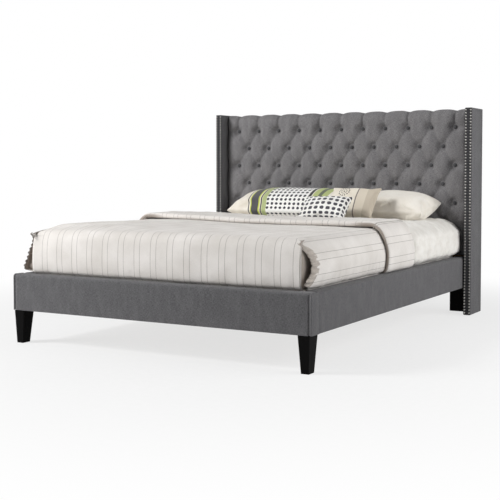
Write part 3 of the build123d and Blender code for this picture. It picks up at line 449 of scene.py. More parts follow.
def upholstered(bm, name, node, material):
    """Turn a bmesh into a padded piece of the bed's upholstery."""
    piece = finished(bm, name, node, "bed_frame", material)


def face_towards(bm, direction):
    """Turn a sheet's faces so that they look to a direction."""
    bm.normal_update()
    if sum(face.normal.dot(direction) for face in bm.faces) < 0:
        bmesh.ops.reverse_faces(bm, faces=bm.faces)
        bm.normal_update()


def shift_along_normals(bm, amount):
    """Move each vertex out along its normal by amount(vertex)."""
    bm.normal_update()
    moves = [vert.normal * amount(vert) for vert in bm.verts]
    for vert, move in zip(bm.verts, moves):
        vert.co += move


def keep_flat_layout(bm):
    """Cloth coordinates from the flat layer."""
    flat = bm.verts.layers.float_vector["flat"]
    uv = bm.loops.layers.uv.new("cloth")
    for face in bm.faces:
        for loop in face.loops:
            loop[uv].uv = loop.vert[flat].xy


def flat_grid(columns, rows, size=1.0):
    """A flat bmesh grid that reaches from -size to size both ways."""
    bm = bmesh.new()
    bmesh.ops.create_grid(bm, x_segments=columns, y_segments=rows, size=size)
    return bm


def only(kind, items):
    """The items of one bmesh type."""
    return [item for item in items if isinstance(item, kind)]


def box_between(low, high):
    """A bmesh box between two corners."""
    bm = bmesh.new()
    bmesh.ops.create_cube(bm, size=1.0)
    bmesh.ops.scale(bm, vec=high - low, verts=bm.verts)
    bmesh.ops.translate(bm, vec=(low + high) / 2, verts=bm.verts)
    return bm


def slice_across(bm, axis, places):
    """Cut every face at planes across an axis."""
    normal = Vector((0, 0, 0))
    normal[axis] = 1.0
    for place in places:
        bmesh.ops.bisect_plane(bm, geom=bm.verts[:] + bm.edges[:] + bm.faces[:],
                               plane_co=normal * place, plane_no=normal, dist=1e-6)


def steps_between(low, high, pitch):
    """Evenly spaced places inside a range, about a pitch apart."""
    count = max(1, round((high - low) / pitch))
    return [low + (high - low) * step / count for step in range(1, count)]


def round_edges(bm, edges, radius, segments=4):
    """Bevel the given edges to a radius."""
    bmesh.ops.bevel(bm, geom=list(edges), offset=radius, offset_type="OFFSET", segments=segments,
                    profile=0.5, affect="EDGES", material=-1, clamp_overlap=True)


def lay_out(bm):
    """Cloth coordinates in metres, taken from the side that each face looks to."""
    layer = bm.loops.layers.uv.new("cloth")
    for face in bm.faces:
        normal = face.normal
        sizes = [abs(part) for part in normal]
        main = sizes.index(max(sizes))
        for loop in face.loops:
            x, y, z = loop.vert.co
            loop[layer].uv = ((y, z), (x, z), (x, y))[main]


clearance = 0.0004
seam_depth = 0.0045
seam_half = 0.0042


def padded_cover(node, board, opening, radii, crown=0.0, softness=0.0008, pitch=0.03, seams=()):
    """A padded cover round a board, open on one side, with rounded edges and a soft face.

    radii gives (radius, test) pairs; an edge whose middle passes the test gets that radius.
    seams gives the places along the cover where a sewn seam pulls it in.
    """
    low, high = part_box(node)
    board_low, board_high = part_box(board)
    bm = box_between(low, high - UP * crown)
    for radius, test in radii:
        edges = [edge for edge in bm.edges if test((edge.verts[0].co + edge.verts[1].co) / 2, edge)]
        round_edges(bm, edges, radius)
    axis = max(range(3), key=lambda part: abs(opening[part]))
    sign = 1 if opening[axis] > 0 else -1
    others = [part for part in range(3) if part != axis]
    pocket_low = Vector([max(board_low[part], low[part] + clearance) for part in range(3)])
    pocket_high = Vector([min(board_high[part], high[part] - clearance) for part in range(3)])
    for part in others:
        slice_across(bm, part, [pocket_low[part], pocket_high[part]])
        slice_across(bm, part, steps_between(low[part], high[part], pitch))
    for seam in seams:
        slice_across(bm, others[0], [seam + 0.003 * step for step in range(-3, 4)])
    mouth = []
    for face in bm.faces:
        middle = face.calc_center_median()
        inside = all(pocket_low[part] < middle[part] < pocket_high[part] for part in others)
        if inside and face.normal[axis] * sign > 0.9:
            mouth.append(face)
    depth = (board_high - board_low)[axis]
    pushed = bmesh.ops.extrude_face_region(bm, geom=mouth)
    moved = only(bmesh.types.BMVert, pushed["geom"])
    step = Vector((0, 0, 0))
    step[axis] = -sign * depth
    bmesh.ops.translate(bm, vec=step, verts=moved)
    bmesh.ops.delete(bm, geom=[face for face in mouth if face.is_valid], context="FACES_ONLY")
    inner = set(moved)
    top = high.z - crown
    across = others[0] if axis == 2 else axis
    middle = (low[across] + high[across]) / 2
    half = (high[across] - low[across]) / 2
    bm.normal_update()
    for vert in bm.verts:
        if vert in inner:
            continue
        z = vert.co.z
        rise = crown * (1 - ((vert.co[across] - middle) / half) ** 2) * smooth(top - 0.02, top, z)
        edge_far = min(vert.co[part] - low[part] for part in others)
        edge_near = min(high[part] - vert.co[part] for part in others)
        calm = smooth(0.0, 0.02, min(edge_far, edge_near))
        along = vert.co[others[0]]
        hills = wobble(3.1, along * 5, z * 7) + 0.4 * wobble(5.7, along * 17, z * 15)
        if vert.normal[axis] * sign < 0.5:
            vert.co -= vert.normal * softness * (1 + hills) * calm
            for seam in seams:
                vert.co -= vert.normal * seam_depth * math.exp(-((along - seam) / seam_half) ** 2)
        vert.co.z += max(rise, 0.0)
    lay_out(bm)
    return bm


# Finishes

upholstery = grey_weave("grey_upholstery")
# Painted light: the headboard's cloth is a lighter tone than the rails' upholstery, for the stronger light
# that falls on the headboard.
tufted_cloth_painted_lighter = grey_weave("grey_tufted_upholstery_painted_lighter", "UV", (152, 150, 151), (70, 69, 71))
button_cloth = grey_weave("grey_button_cloth", "Object", (96, 96, 98), (50, 50, 52))
# The wing cloth carries painted shade on the wings' front faces.
wing_cloth_with_painted_shade = grey_weave("grey_wing_upholstery_painted_shade", front=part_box("right_wing_padding")[0].y + 0.0035)
bedding_stripe = striped_cloth("striped_bedding")
# Painted shade: the ruffle's cloth is a darker taupe than the coverlet, for the shade that the hem lies in.
hem_cloth_painted_shade = plain_cloth("hem_cotton_painted_shade", (194, 186, 177), (158, 149, 141), 0.0014, 0.0004, 30.0)
pad_white = plain_cloth("white_pad_cotton", (240, 238, 233), (222, 218, 211), 0.0022, 0.0007, 16.0)
ticking = plain_cloth("mattress_ticking", (236, 233, 227), (214, 209, 200), 0.0026, 0.0006)
sateen = plain_cloth("ivory_sateen", (240, 236, 228), (226, 219, 207), 0.0012, 0.00025, 7.0)
lining = plain_cloth("black_lining", (30, 30, 31), (17, 17, 18), 0.0020, 0.0004)
webbing = plain_cloth("natural_webbing", (206, 198, 178), (176, 166, 142), 0.0030, 0.0007)
banded = banded_cloth("banded_cotton", 0.850)
dotted = dotted_cloth("dotted_cotton")
beige = beige_cloth("beige_cotton")
board_wood = {axis: wood(f"planed_softwood_{axis}", number, (214, 184, 140), (176, 138, 92))
              for number, axis in enumerate("xyz")}
slat_wood = wood("slat_softwood", 0, (224, 200, 160), (190, 156, 110))
panel_wood = wood("headboard_plywood", 0, (205, 178, 138), (164, 130, 88), 0.66)
black_leg = wood("black_stained_wood", 2, (12, 11, 11), (6, 6, 6), 0.60, 0.04)
pewter = metal("pewter_nail_heads", rgb(150, 148, 145), 0.34)
zinc = metal("zinc_fasteners", rgb(168, 168, 172), 0.38)
powder_black = moulded("black_powder_coat", rgb(36, 36, 38), 0.5)
black_plastic = moulded("black_foot_plastic", rgb(28, 28, 29), 0.55)


def numbered(name, count, digits=1):
    """The names of nodes that are numbered from 1."""
    return [f"{name}_{number:0{digits}d}" for number in range(1, count + 1)]


node_finishes = (
    (board_wood["x"], ["foot_rail_board"]),
    (board_wood["y"], ["left_side_rail_board", "right_side_rail_board", "left_slat_ledger",
                       "right_slat_ledger", "centre_beam"]),
    (board_wood["z"], ["headboard_battens", "left_wing_board", "right_wing_board",
                       *numbered("centre_leg", 3)]),
    (panel_wood, ["headboard_panel"]),
    (slat_wood, numbered("slat", 14, 2)),
    (button_cloth, ["tuft_buttons"]),
    (pewter, ["left_wing_nails", "right_wing_nails"]),
    (zinc, ["wing_bolts", "leg_hanger_bolts", "headboard_leg_bolts", "wood_screws", "bracket_bolts"]),
    (powder_black, ["corner_brackets", "beam_hangers"]),
    (black_leg, ["front_left_leg", "front_right_leg", "left_headboard_leg", "right_headboard_leg"]),
    (black_plastic, numbered("levelling_foot", 3)),
)
for material, nodes in node_finishes:
    for node in nodes:
        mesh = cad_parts[node].data
        mesh.materials.clear()
        mesh.materials.append(material)


# Rails and wings

rail_low, rail_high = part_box("foot_rail_padding")
seam_inset = 0.0115
rail_rounding = [
    (0.013, lambda middle, edge: middle.z > rail_high.z - 0.02 and middle.y < rail_low.y + 0.01),
    (0.008, lambda middle, edge: middle.z > rail_high.z - 0.02 and middle.y > rail_high.y - 0.01
        and abs(middle.x) < rail_high.x - 0.01),
    (0.008, lambda middle, edge: abs(middle.x) > rail_high.x - 0.001 and middle.y < rail_low.y + 0.01),
    (0.005, lambda middle, edge: middle.z < rail_low.z + 0.002 and middle.y < rail_low.y + 0.01),
    (0.007, lambda middle, edge: abs(middle.x) > rail_high.x - 0.001 and middle.y > rail_high.y - 0.001),
]
cover = padded_cover("foot_rail_padding", "foot_rail_board", Vector((0, 1, 0)), rail_rounding, crown=0.005,
                     seams=[rail_low.x + seam_inset, rail_high.x - seam_inset])
upholstered(cover, "foot_rail_cover", "foot_rail_padding", upholstery)

for side, name in ((-1, "left"), (1, "right")):
    node = f"{name}_side_rail_padding"
    low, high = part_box(node)
    outer = high.x if side > 0 else low.x
    inner = low.x if side > 0 else high.x
    rounding = [
        (0.013, lambda middle, edge: middle.z > high.z - 0.02 and abs(middle.x - outer) < 0.01),
        (0.008, lambda middle, edge: middle.z > high.z - 0.02 and abs(middle.x - inner) < 0.002
            and abs(middle.y) < high.y - 0.05),
        (0.005, lambda middle, edge: middle.z < low.z + 0.002 and abs(middle.x - outer) < 0.01),
        (0.007, lambda middle, edge: abs(middle.x - outer) < 0.001
            and min(abs(middle.y - low.y), abs(middle.y - high.y)) < 0.001),
    ]
    cover = padded_cover(node, f"{name}_side_rail_board", Vector((-side, 0, 0)), rounding, crown=0.005)
    upholstered(cover, f"{name}_rail_cover", node, upholstery)

    node = f"{name}_wing_padding"
    low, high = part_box(node)
    rounding = [(0.006, lambda middle, edge: middle.y < high.y - 0.01
                 and not all(vert.co.y > high.y - 0.001 for vert in edge.verts))]
    cover = padded_cover(node, f"{name}_wing_board", Vector((0, 1, 0)), rounding, softness=0.0005)
    upholstered(cover, f"{name}_wing_cover", node, wing_cloth_with_painted_shade)


# Buttoned headboard pad

button_pitch = 0.1534
row_pitch = 0.1163
top_row_gap = 0.112
row_count = 6
outer_steps = 5
slope_length = math.hypot(button_pitch / 2, row_pitch)
slope_x = button_pitch / 2 / slope_length
slope_z = row_pitch / slope_length
pleat_pitch = button_pitch * slope_z
pad_grid = 0.0052
deepest_puff = 0.0316
fold_blend = 3.5
pad_low, pad_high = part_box("headboard_tufted_pad")
pad_front = pad_low.y
pad_depth = pad_high.y - pad_low.y
pad_half = pad_high.x
pad_top = pad_high.z
top_row = pad_top - top_row_gap
last_row = top_row - (row_count - 1) * row_pitch
outer_button = outer_steps * button_pitch


def nearness_to_pleat(place, pitch):
    """1 on a pleat and 0 half-way between two."""
    share = place / pitch
    return abs(2 * (share - math.floor(share)) - 1)


def nearest_button(x, z):
    """Distance to the nearest button, the direction to it and its number."""
    best = (9.0, 0.0, 0)
    row_place = (top_row - z) / row_pitch
    for row in {min(max(int(math.floor(row_place)) + step, 0), row_count - 1) for step in (0, 1)}:
        shift = row % 2 / 2
        limit = outer_steps - row % 2
        column = min(max(round(x / button_pitch - shift), -outer_steps), limit)
        centre_x = (column + shift) * button_pitch
        centre_z = top_row - row * row_pitch
        far = math.hypot(x - centre_x, z - centre_z)
        if far < best[0]:
            best = (far, math.atan2(z - centre_z, x - centre_x), row * 20 + column)
    return best


def puff_depth(x, z):
    """How far the buttoned face lies behind its crests."""
    if z > top_row:
        closeness = [nearness_to_pleat(x, button_pitch)]
        if abs(x) > outer_button:
            closeness.append(nearness_to_pleat(z - top_row, 2 * row_pitch))
    elif z < last_row:
        closeness = [nearness_to_pleat(x + button_pitch / 2, button_pitch)
                     * mix(0.75, 1.0, smooth(last_row - 0.1, last_row, z))]
    elif abs(x) > outer_button:
        closeness = [nearness_to_pleat(z - top_row, 2 * row_pitch)]
    else:
        rise = z - top_row
        closeness = [nearness_to_pleat(x * slope_z - rise * slope_x, pleat_pitch),
                     nearness_to_pleat(x * slope_z + rise * slope_x, pleat_pitch)]
    far, turn, number = nearest_button(x, z)
    near = math.exp(-(far / 0.042) ** 2)
    depth = 0.0
    for close in closeness:
        gap = (1 - close) * pleat_pitch / 2
        soft = mix(0.0150, 0.028, near) * close ** 2.0 + 0.0007 * math.exp(-(gap / 0.0048) ** 2)
        round_fold = 0.026 * (1 - math.sqrt(max(1 - close * close, 0.0)))
        fold = mix(soft, round_fold, smooth(top_row - 0.01, top_row + 0.02, z))
        depth += fold ** fold_blend
    dimple = 0.0318 * math.exp(-(max(far - 0.0115, 0.0) / 0.0250) ** 2)
    depth = (depth + dimple ** fold_blend) ** (1 / fold_blend)
    tug = math.exp(-((far - 0.030) / 0.017) ** 2)
    crease = wobble(number * 3.7, math.cos(turn) * 3.2, math.sin(turn) * 3.2)
    depth += 0.0017 * tug * crease
    depth += 0.0010 * wobble(9.2, x * 14, z * 14)
    return min(max(depth, clearance), deepest_puff)


def headboard_pad():
    """The buttoned pad: a sheet rolled over the top and the sides, then pressed in."""
    side_roll = 0.040
    top_roll = 0.062
    fall = 0.006
    side_arc = side_roll * math.pi / 2
    top_arc = top_roll * math.pi / 2
    side_run = pad_depth - side_roll
    flat_x = pad_half - side_roll
    flat_z = pad_top - top_roll - pad_low.z
    back_run = pad_depth - top_roll
    down_run = pad_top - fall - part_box("headboard_panel")[1].z
    half_u = flat_x + side_arc + side_run
    length_v = flat_z + top_arc + back_run + down_run
    bm = flat_grid(round(2 * half_u / pad_grid), round(length_v / pad_grid))
    flat = bm.verts.layers.float_vector.new("flat")
    for vert in bm.verts:
        u = vert.co.x * half_u
        v = (vert.co.y + 1) / 2 * length_v
        past = abs(u) - flat_x
        if past <= 0:
            x, back_side = abs(u), 0.0
        elif past <= side_arc:
            turn = past / side_roll
            x, back_side = flat_x + side_roll * math.sin(turn), side_roll * (1 - math.cos(turn))
        else:
            x, back_side = pad_half, side_roll + past - side_arc
        past = v - flat_z
        if past <= 0:
            z, back_top = pad_low.z + v, 0.0
        elif past <= top_arc:
            turn = past / top_roll
            z = pad_top - top_roll + top_roll * math.sin(turn)
            back_top = top_roll * (1 - math.cos(turn))
        elif past <= top_arc + back_run:
            share = (past - top_arc) / back_run
            z, back_top = pad_top - fall * share, top_roll + share * back_run
        else:
            z, back_top = pad_top - fall - (past - top_arc - back_run), pad_depth
        y = pad_front + min(pad_depth, math.hypot(back_side, back_top))
        vert.co = Vector((math.copysign(x, u), y, z))
        vert[flat] = Vector((u, v, 0))
    face_towards(bm, Vector((0, -1, 0)))

    def pressed_in(vert):
        u, v, _ = vert[flat]
        x = math.copysign(min(abs(u), pad_half), u)
        z = min(pad_low.z + v, pad_top + 0.05)
        depth = puff_depth(x, z)
        over_top = smooth(flat_z, flat_z + top_arc, v)
        over_side = smooth(flat_x, flat_x + side_arc, abs(u))
        to_back = smooth(flat_z + top_arc, flat_z + top_arc + back_run, v)
        depth *= mix(1.0, 0.6, over_top) * mix(1.0, 0.25, to_back) * mix(1.0, 0.15, over_side)
        return -depth

    shift_along_normals(bm, pressed_in)
    keep_flat_layout(bm)
    return bm


upholstered(headboard_pad(), "buttoned_headboard_pad", "headboard_tufted_pad", tufted_cloth_painted_lighter)


# Cloth on the headboard's back and the webbing under the slats


cloth_low, cloth_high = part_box("headboard_back_cloth")


def back_cloth():
    """The cloth stapled over the battens, a little slack between its edges."""
    low, high = cloth_low, cloth_high
    bm = flat_grid(110, 70, 0.5)
    bmesh.ops.rotate(bm, cent=(0, 0, 0), matrix=Matrix.Rotation(math.pi / 2, 3, "X"), verts=bm.verts)
    bmesh.ops.scale(bm, vec=Vector((high.x - low.x, 1, high.z - low.z)), verts=bm.verts)
    bmesh.ops.translate(bm, vec=(low + high) / 2, verts=bm.verts)
    for vert in bm.verts:
        x, _, z = vert.co
        edge = min(x - low.x, high.x - x, z - low.z, high.z - z)
        slack = smooth(0.0, 0.12, edge)
        vert.co.y = high.y - 0.0003 - 0.0012 * slack * (0.5 + 0.5 * wobble(2.2, x * 3, z * 3))
    face_towards(bm, Vector((0, 1, 0)))
    lay_out(bm)
    return bm


back_piece = finished(back_cloth(), "headboard_lining", "headboard_back_cloth", "bed_frame",
                      lining)


def slat_webbing():
    """Two straps that hang a little between the slats they are stapled to."""
    low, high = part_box("slat_straps")
    half_width = 0.0125
    slat_low, slat_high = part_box("slat_01")
    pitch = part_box("slat_02")[0].y - slat_low.y
    bm = bmesh.new()
    for side in (-1, 1):
        centre = side * (high.x - half_width)
        strap = mesh_from("strap", box_between(Vector((centre - half_width, low.y, low.z)),
                                               Vector((centre + half_width, high.y, high.z))))
        bm.from_mesh(strap)
        bpy.data.meshes.remove(strap)
    slice_across(bm, 1, steps_between(low.y, high.y, 0.01))
    middle = (slat_low.y + slat_high.y) / 2
    half_slat = (slat_high.y - slat_low.y) / 2
    for vert in bm.verts:
        place = (vert.co.y - middle) / pitch
        off = abs(place - round(place)) * pitch
        vert.co.z -= 0.0011 * smooth(half_slat, pitch / 2, off)
    bm.normal_update()
    lay_out(bm)
    return bm


finished(slat_webbing(), "slat_webbing", "slat_straps", "bed_frame", webbing, False)


# Mattress


mattress_low, mattress_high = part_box("mattress")
foot_face = rail_low.y


def mattress_block():
    """The mattress with taped edges and shallow quilting."""
    low, high = mattress_low, mattress_high
    top_quilts = math.pi / 0.16
    side_quilts = math.pi / 0.12
    bm = box_between(low, high)
    upright = [edge for edge in bm.edges
               if abs(edge.verts[0].co.z - edge.verts[1].co.z) > 0.1]
    round_edges(bm, upright, 0.06, 10)
    level = [edge for edge in bm.edges if edge.verts[0].co.z == edge.verts[1].co.z
             and len(edge.link_faces) == 2
             and abs(edge.link_faces[0].normal.z - edge.link_faces[1].normal.z) > 0.5]
    round_edges(bm, level, 0.016, 4)
    for axis, pitch in ((0, 0.025), (1, 0.025), (2, 0.018)):
        slice_across(bm, axis, steps_between(low[axis], high[axis], pitch))

    def quilted(vert):
        x, y, z = vert.co
        if abs(vert.normal.z) > 0.8:
            quilt = abs(math.sin(x * top_quilts)) * abs(math.sin(y * top_quilts))
        else:
            from_tape = min(z - low.z, high.z - z)
            quilt = abs(math.sin((x + y) * side_quilts)) * smooth(0.0, 0.03, from_tape)
        return -0.003 * (1 - quilt)

    shift_along_normals(bm, quilted)
    lay_out(bm)
    return bm


mattress_piece = finished(mattress_block(), "quilted_mattress", "mattress", "mattress_set",
                          ticking)


# Bedding: a flat cloth grid whose edges fold down over the mattress


def run_of(points):
    """The length of a bent line."""
    return sum(math.dist(first, last) for first, last in zip(points, points[1:]))


def path_through(points, step):
    """Evenly spaced points on a smooth line through the given ones."""
    dense = []
    for index in range(len(points) - 1):
        before = points[max(index - 1, 0)]
        start, end = points[index], points[index + 1]
        after = points[min(index + 2, len(points) - 1)]
        for part in range(12):
            t = part / 12
            dense.append(tuple(
                0.5 * (2 * s + (e - b) * t + (2 * b - 5 * s + 4 * e - a) * t * t
                       + (3 * s - b - 3 * e + a) * t ** 3)
                for b, s, e, a in zip(before, start, end, after)))
    dense.append(tuple(points[-1]))
    even = [dense[0]]
    run = [0.0]
    travelled = 0.0
    total = run_of(dense)
    count = max(2, round(total / step))
    target = total / count
    wanted = target
    for first, last in zip(dense, dense[1:]):
        length = math.dist(first, last)
        while length > 0 and travelled + length >= wanted - 1e-12 and len(even) < count:
            share = (wanted - travelled) / length
            even.append(tuple(mix(a, b, share) for a, b in zip(first, last)))
            run.append(wanted)
            wanted += target
        travelled += length
    even.append(dense[-1])
    run.append(total)
    return even, run


def spread_cover(x_half, y_low, y_high, top, side_path, foot_path, head_path=None, pitch=0.0085):
    """A cover: a flat middle, and edges that follow the given paths outwards and down.

    A path is a list of (outward, drop) points from the edge of the flat middle, in metres.
    The vertex layer "flat" keeps the cloth's flat coordinates, and the layer "out" the
    directions that a vertex was drawn out in and its ring. The paths come back too.
    """
    length = y_high - y_low
    bm = flat_grid(round(2 * x_half / pitch), round(length / pitch))
    flat = bm.verts.layers.float_vector.new("flat")
    for vert in bm.verts:
        vert.co = Vector((vert.co.x * x_half, y_low + (vert.co.y + 1) / 2 * length, top))
        vert[flat] = vert.co
    out = bm.verts.layers.float_vector.new("out")
    for vert in bm.verts:
        away = Vector((0, 0, 0))
        if abs(abs(vert.co.x) - x_half) < 1e-6:
            away.x = math.copysign(1, vert.co.x)
        if abs(vert.co.y - y_low) < 1e-6:
            away.y = -1
        if head_path and abs(vert.co.y - y_high) < 1e-6:
            away.y = 1
        vert[out] = away
    paths = {"side": path_through(side_path, pitch)}
    count = len(paths["side"][0])
    for name, points in (("foot", foot_path), ("head", head_path)):
        if points:
            even, run = path_through(points, run_of(points) / (count - 1))
            spare = max(count - len(even), 0)
            even += even[-1:] * spare
            run += run[-1:] * spare
            paths[name] = (even[:count - 1] + [even[-1]], run[:count - 1] + [run[-1]])
    edges = [edge for edge in bm.edges if edge.is_boundary
             and all(vert[out].length > 0 for vert in edge.verts)
             and (abs(edge.verts[0].co.x - edge.verts[1].co.x) < 1e-6
                  or abs(edge.verts[0].co.y - y_low) < 1e-6
                  or (head_path and abs(edge.verts[0].co.y - y_high) < 1e-6))]
    for ring in range(1, count):
        made = bmesh.ops.extrude_edge_only(bm, edges=edges)["geom"]
        edges = [edge for edge in only(bmesh.types.BMEdge, made)
                 if edge.is_boundary and all(vert in made for vert in edge.verts)]
        for vert in only(bmesh.types.BMVert, made):
            away = vert[out]
            away.z = ring
            place = Vector(vert.co)
            spot = Vector(vert[flat])
            drops = []
            if away.x:
                outward, drop = paths["side"][0][ring]
                place.x = math.copysign(x_half + outward, away.x)
                spot.x = math.copysign(x_half + paths["side"][1][ring], away.x)
                drops.append(drop)
            if away.y:
                which = "foot" if away.y < 0 else "head"
                outward, drop = paths[which][0][ring]
                edge_y = y_low if away.y < 0 else y_high
                place.y = edge_y + math.copysign(outward, away.y)
                spot.y = edge_y + math.copysign(paths[which][1][ring], away.y)
                drops.append(drop)
            place.z = top - max(drops)
            vert.co = place
            vert[flat] = spot
    face_towards(bm, UP)
    return bm, paths


def puffed_up(x, y):
    """How much higher the bedding lies where the cloth is loose, on the bed's left."""
    from_foot = y - foot_face
    share = smooth(0.10, 0.25, from_foot) * mix(1.0, 0.7, smooth(0.45, 0.85, from_foot))
    share *= 1 - smooth(1.33, 1.50, from_foot)
    return (0.018 * smooth(0.0, -0.45, x) - 0.002 * smooth(0.10, 0.20, x) * smooth(0.40, 0.30, x)) * share


def settled(bm):
    """Lift the loose cloth on the mattress, and end the sheet with its cloth coordinates."""
    for vert in bm.verts:
        x, y, z = vert.co
        vert.co.z += puffed_up(x, y) * smooth(0.40, 0.55, z)
    keep_flat_layout(bm)


def thickened(piece, thickness=0.0022):
    """Give a cloth its thickness on the inside."""
    modifier = piece.modifiers.new("thickness", "SOLIDIFY")
    modifier.thickness = thickness
    modifier.offset = -1
    return piece


coverlet_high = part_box("coverlet")[1]
top_cover = coverlet_high.z
cuff_low, cuff_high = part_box("folded_cover")

# Outward and drop, from the edge of the flat middle
side_drop = [(0.0, 0.0), (0.026, 0.003), (0.050, 0.013), (0.067, 0.032), (0.080, 0.058), (0.092, 0.088),
             (0.101, 0.123), (0.102, 0.160), (0.098, 0.195), (0.090, 0.220), (0.080, 0.2285),
             (0.071, 0.232), (0.0665, 0.239), (0.0665, 0.2465)]
foot_drop = [(0.0, 0.0), (0.034, 0.002), (0.060, 0.010), (0.078, 0.027), (0.088, 0.053), (0.092, 0.088),
             (0.094, 0.128), (0.094, 0.165), (0.092, 0.198), (0.088, 0.220), (0.080, 0.2285),
             (0.072, 0.2315), (0.0665, 0.239), (0.0665, 0.2465)]

# The flat middle's half width, its two ends, and the cloth's grid
flat_half = 0.700
flat_foot = foot_face + 0.150
flat_back = coverlet_high.y - 0.004
cover_pitch = 0.0085
row_step = (flat_back - flat_foot) / round((flat_back - flat_foot) / cover_pitch)
pleat_inset = 0.056


def fold_edge(z, side):
    """How far behind the foot drop the side drop's front edge lies, at a height."""
    shape = [(0.340, 0.030), (0.359, 0.040), (0.401, 0.082), (0.430, 0.112), (0.460, 0.124), (0.496, 0.116),
             (0.520, 0.098), (0.542, 0.070), (0.562, 0.010), (0.600, -0.050)]
    if side < 0:
        shape = [(height, far * 0.75) for height, far in shape]
    if z <= shape[0][0]:
        return shape[0][1]
    for (low_z, low_far), (high_z, high_far) in zip(shape, shape[1:]):
        if z <= high_z:
            return mix(low_far, high_far, (z - low_z) / (high_z - low_z))
    return shape[-1][1]


corner_cuts = 12
ruffle_width = 0.040
fold_column = 9
front_column = 2 * corner_cuts + 2


def along_line(points, share):
    """The point that lies a share of the way along a bent line."""
    lengths = [math.dist(a, b) for a, b in zip(points, points[1:])]
    left = share * sum(lengths)
    for first, last, length in zip(points, points[1:], lengths):
        if left <= length or last is points[-1]:
            return Vector(first).lerp(Vector(last), min(left / max(length, 1e-9), 1.0))
        left -= length
    return Vector(points[-1])


def rounded_corner(side_x, foot_y, end_y, column):
    """Where a column runs round the bed's corner, seen from above."""
    start_x = flat_half - cover_pitch
    radius = min(0.055, side_x - start_x, end_y - foot_y)
    bend = [(side_x - radius + radius * math.sin(turn), foot_y + radius - radius * math.cos(turn))
            for turn in [math.pi / 2 * part / 8 for part in range(9)]]
    return along_line([(start_x, foot_y)] + bend + [(side_x, end_y)], column / (2 * corner_cuts))


def pleated_corner(side_x, foot_y, edge_y, column):
    """Where a column runs in the pleat: in behind the foot drop, back, and out at the side drop's edge."""
    fold_x = 0.7695
    if column <= fold_column:
        return Vector((mix(flat_half - cover_pitch, fold_x, column / fold_column), foot_y))
    inner_x = min(fold_x + 0.0035, side_x - 0.012)
    turn_y = edge_y + 0.030
    under = side_x - 0.0052
    line = [(fold_x, foot_y), (fold_x + 0.001, foot_y + 0.006), (inner_x, foot_y + 0.014),
            (inner_x, turn_y - 0.004), ((inner_x + under) / 2, turn_y), (under, turn_y - 0.004),
            (under, edge_y + 0.004), (side_x - 0.0026, edge_y - 0.0008), (side_x, edge_y + 0.0016)]
    return along_line(line, (column - fold_column) / (front_column - fold_column))


def left_flare(height):
    """How far the loose left drop flares out at a height."""
    return 0.040 * smooth(0.560, 0.440, height) * smooth(0.352, 0.372, height)


def front_edge(height, side):
    """How far the left drop flares out at a height, and where a side drop's front edge lies."""
    flare = left_flare(height) if side < 0 else 0.0
    gather = 0.004 * math.sin(height * 300) + 0.003 * wobble(4.4, height * 60, side)
    hem = ruffle_width * smooth(0.357, 0.385, height) * smooth(0.578, 0.550, height)
    edge_y = foot_face + pleat_inset + fold_edge(height, side) - hem + gather * smooth(0.57, 0.55, height)
    return flare, edge_y


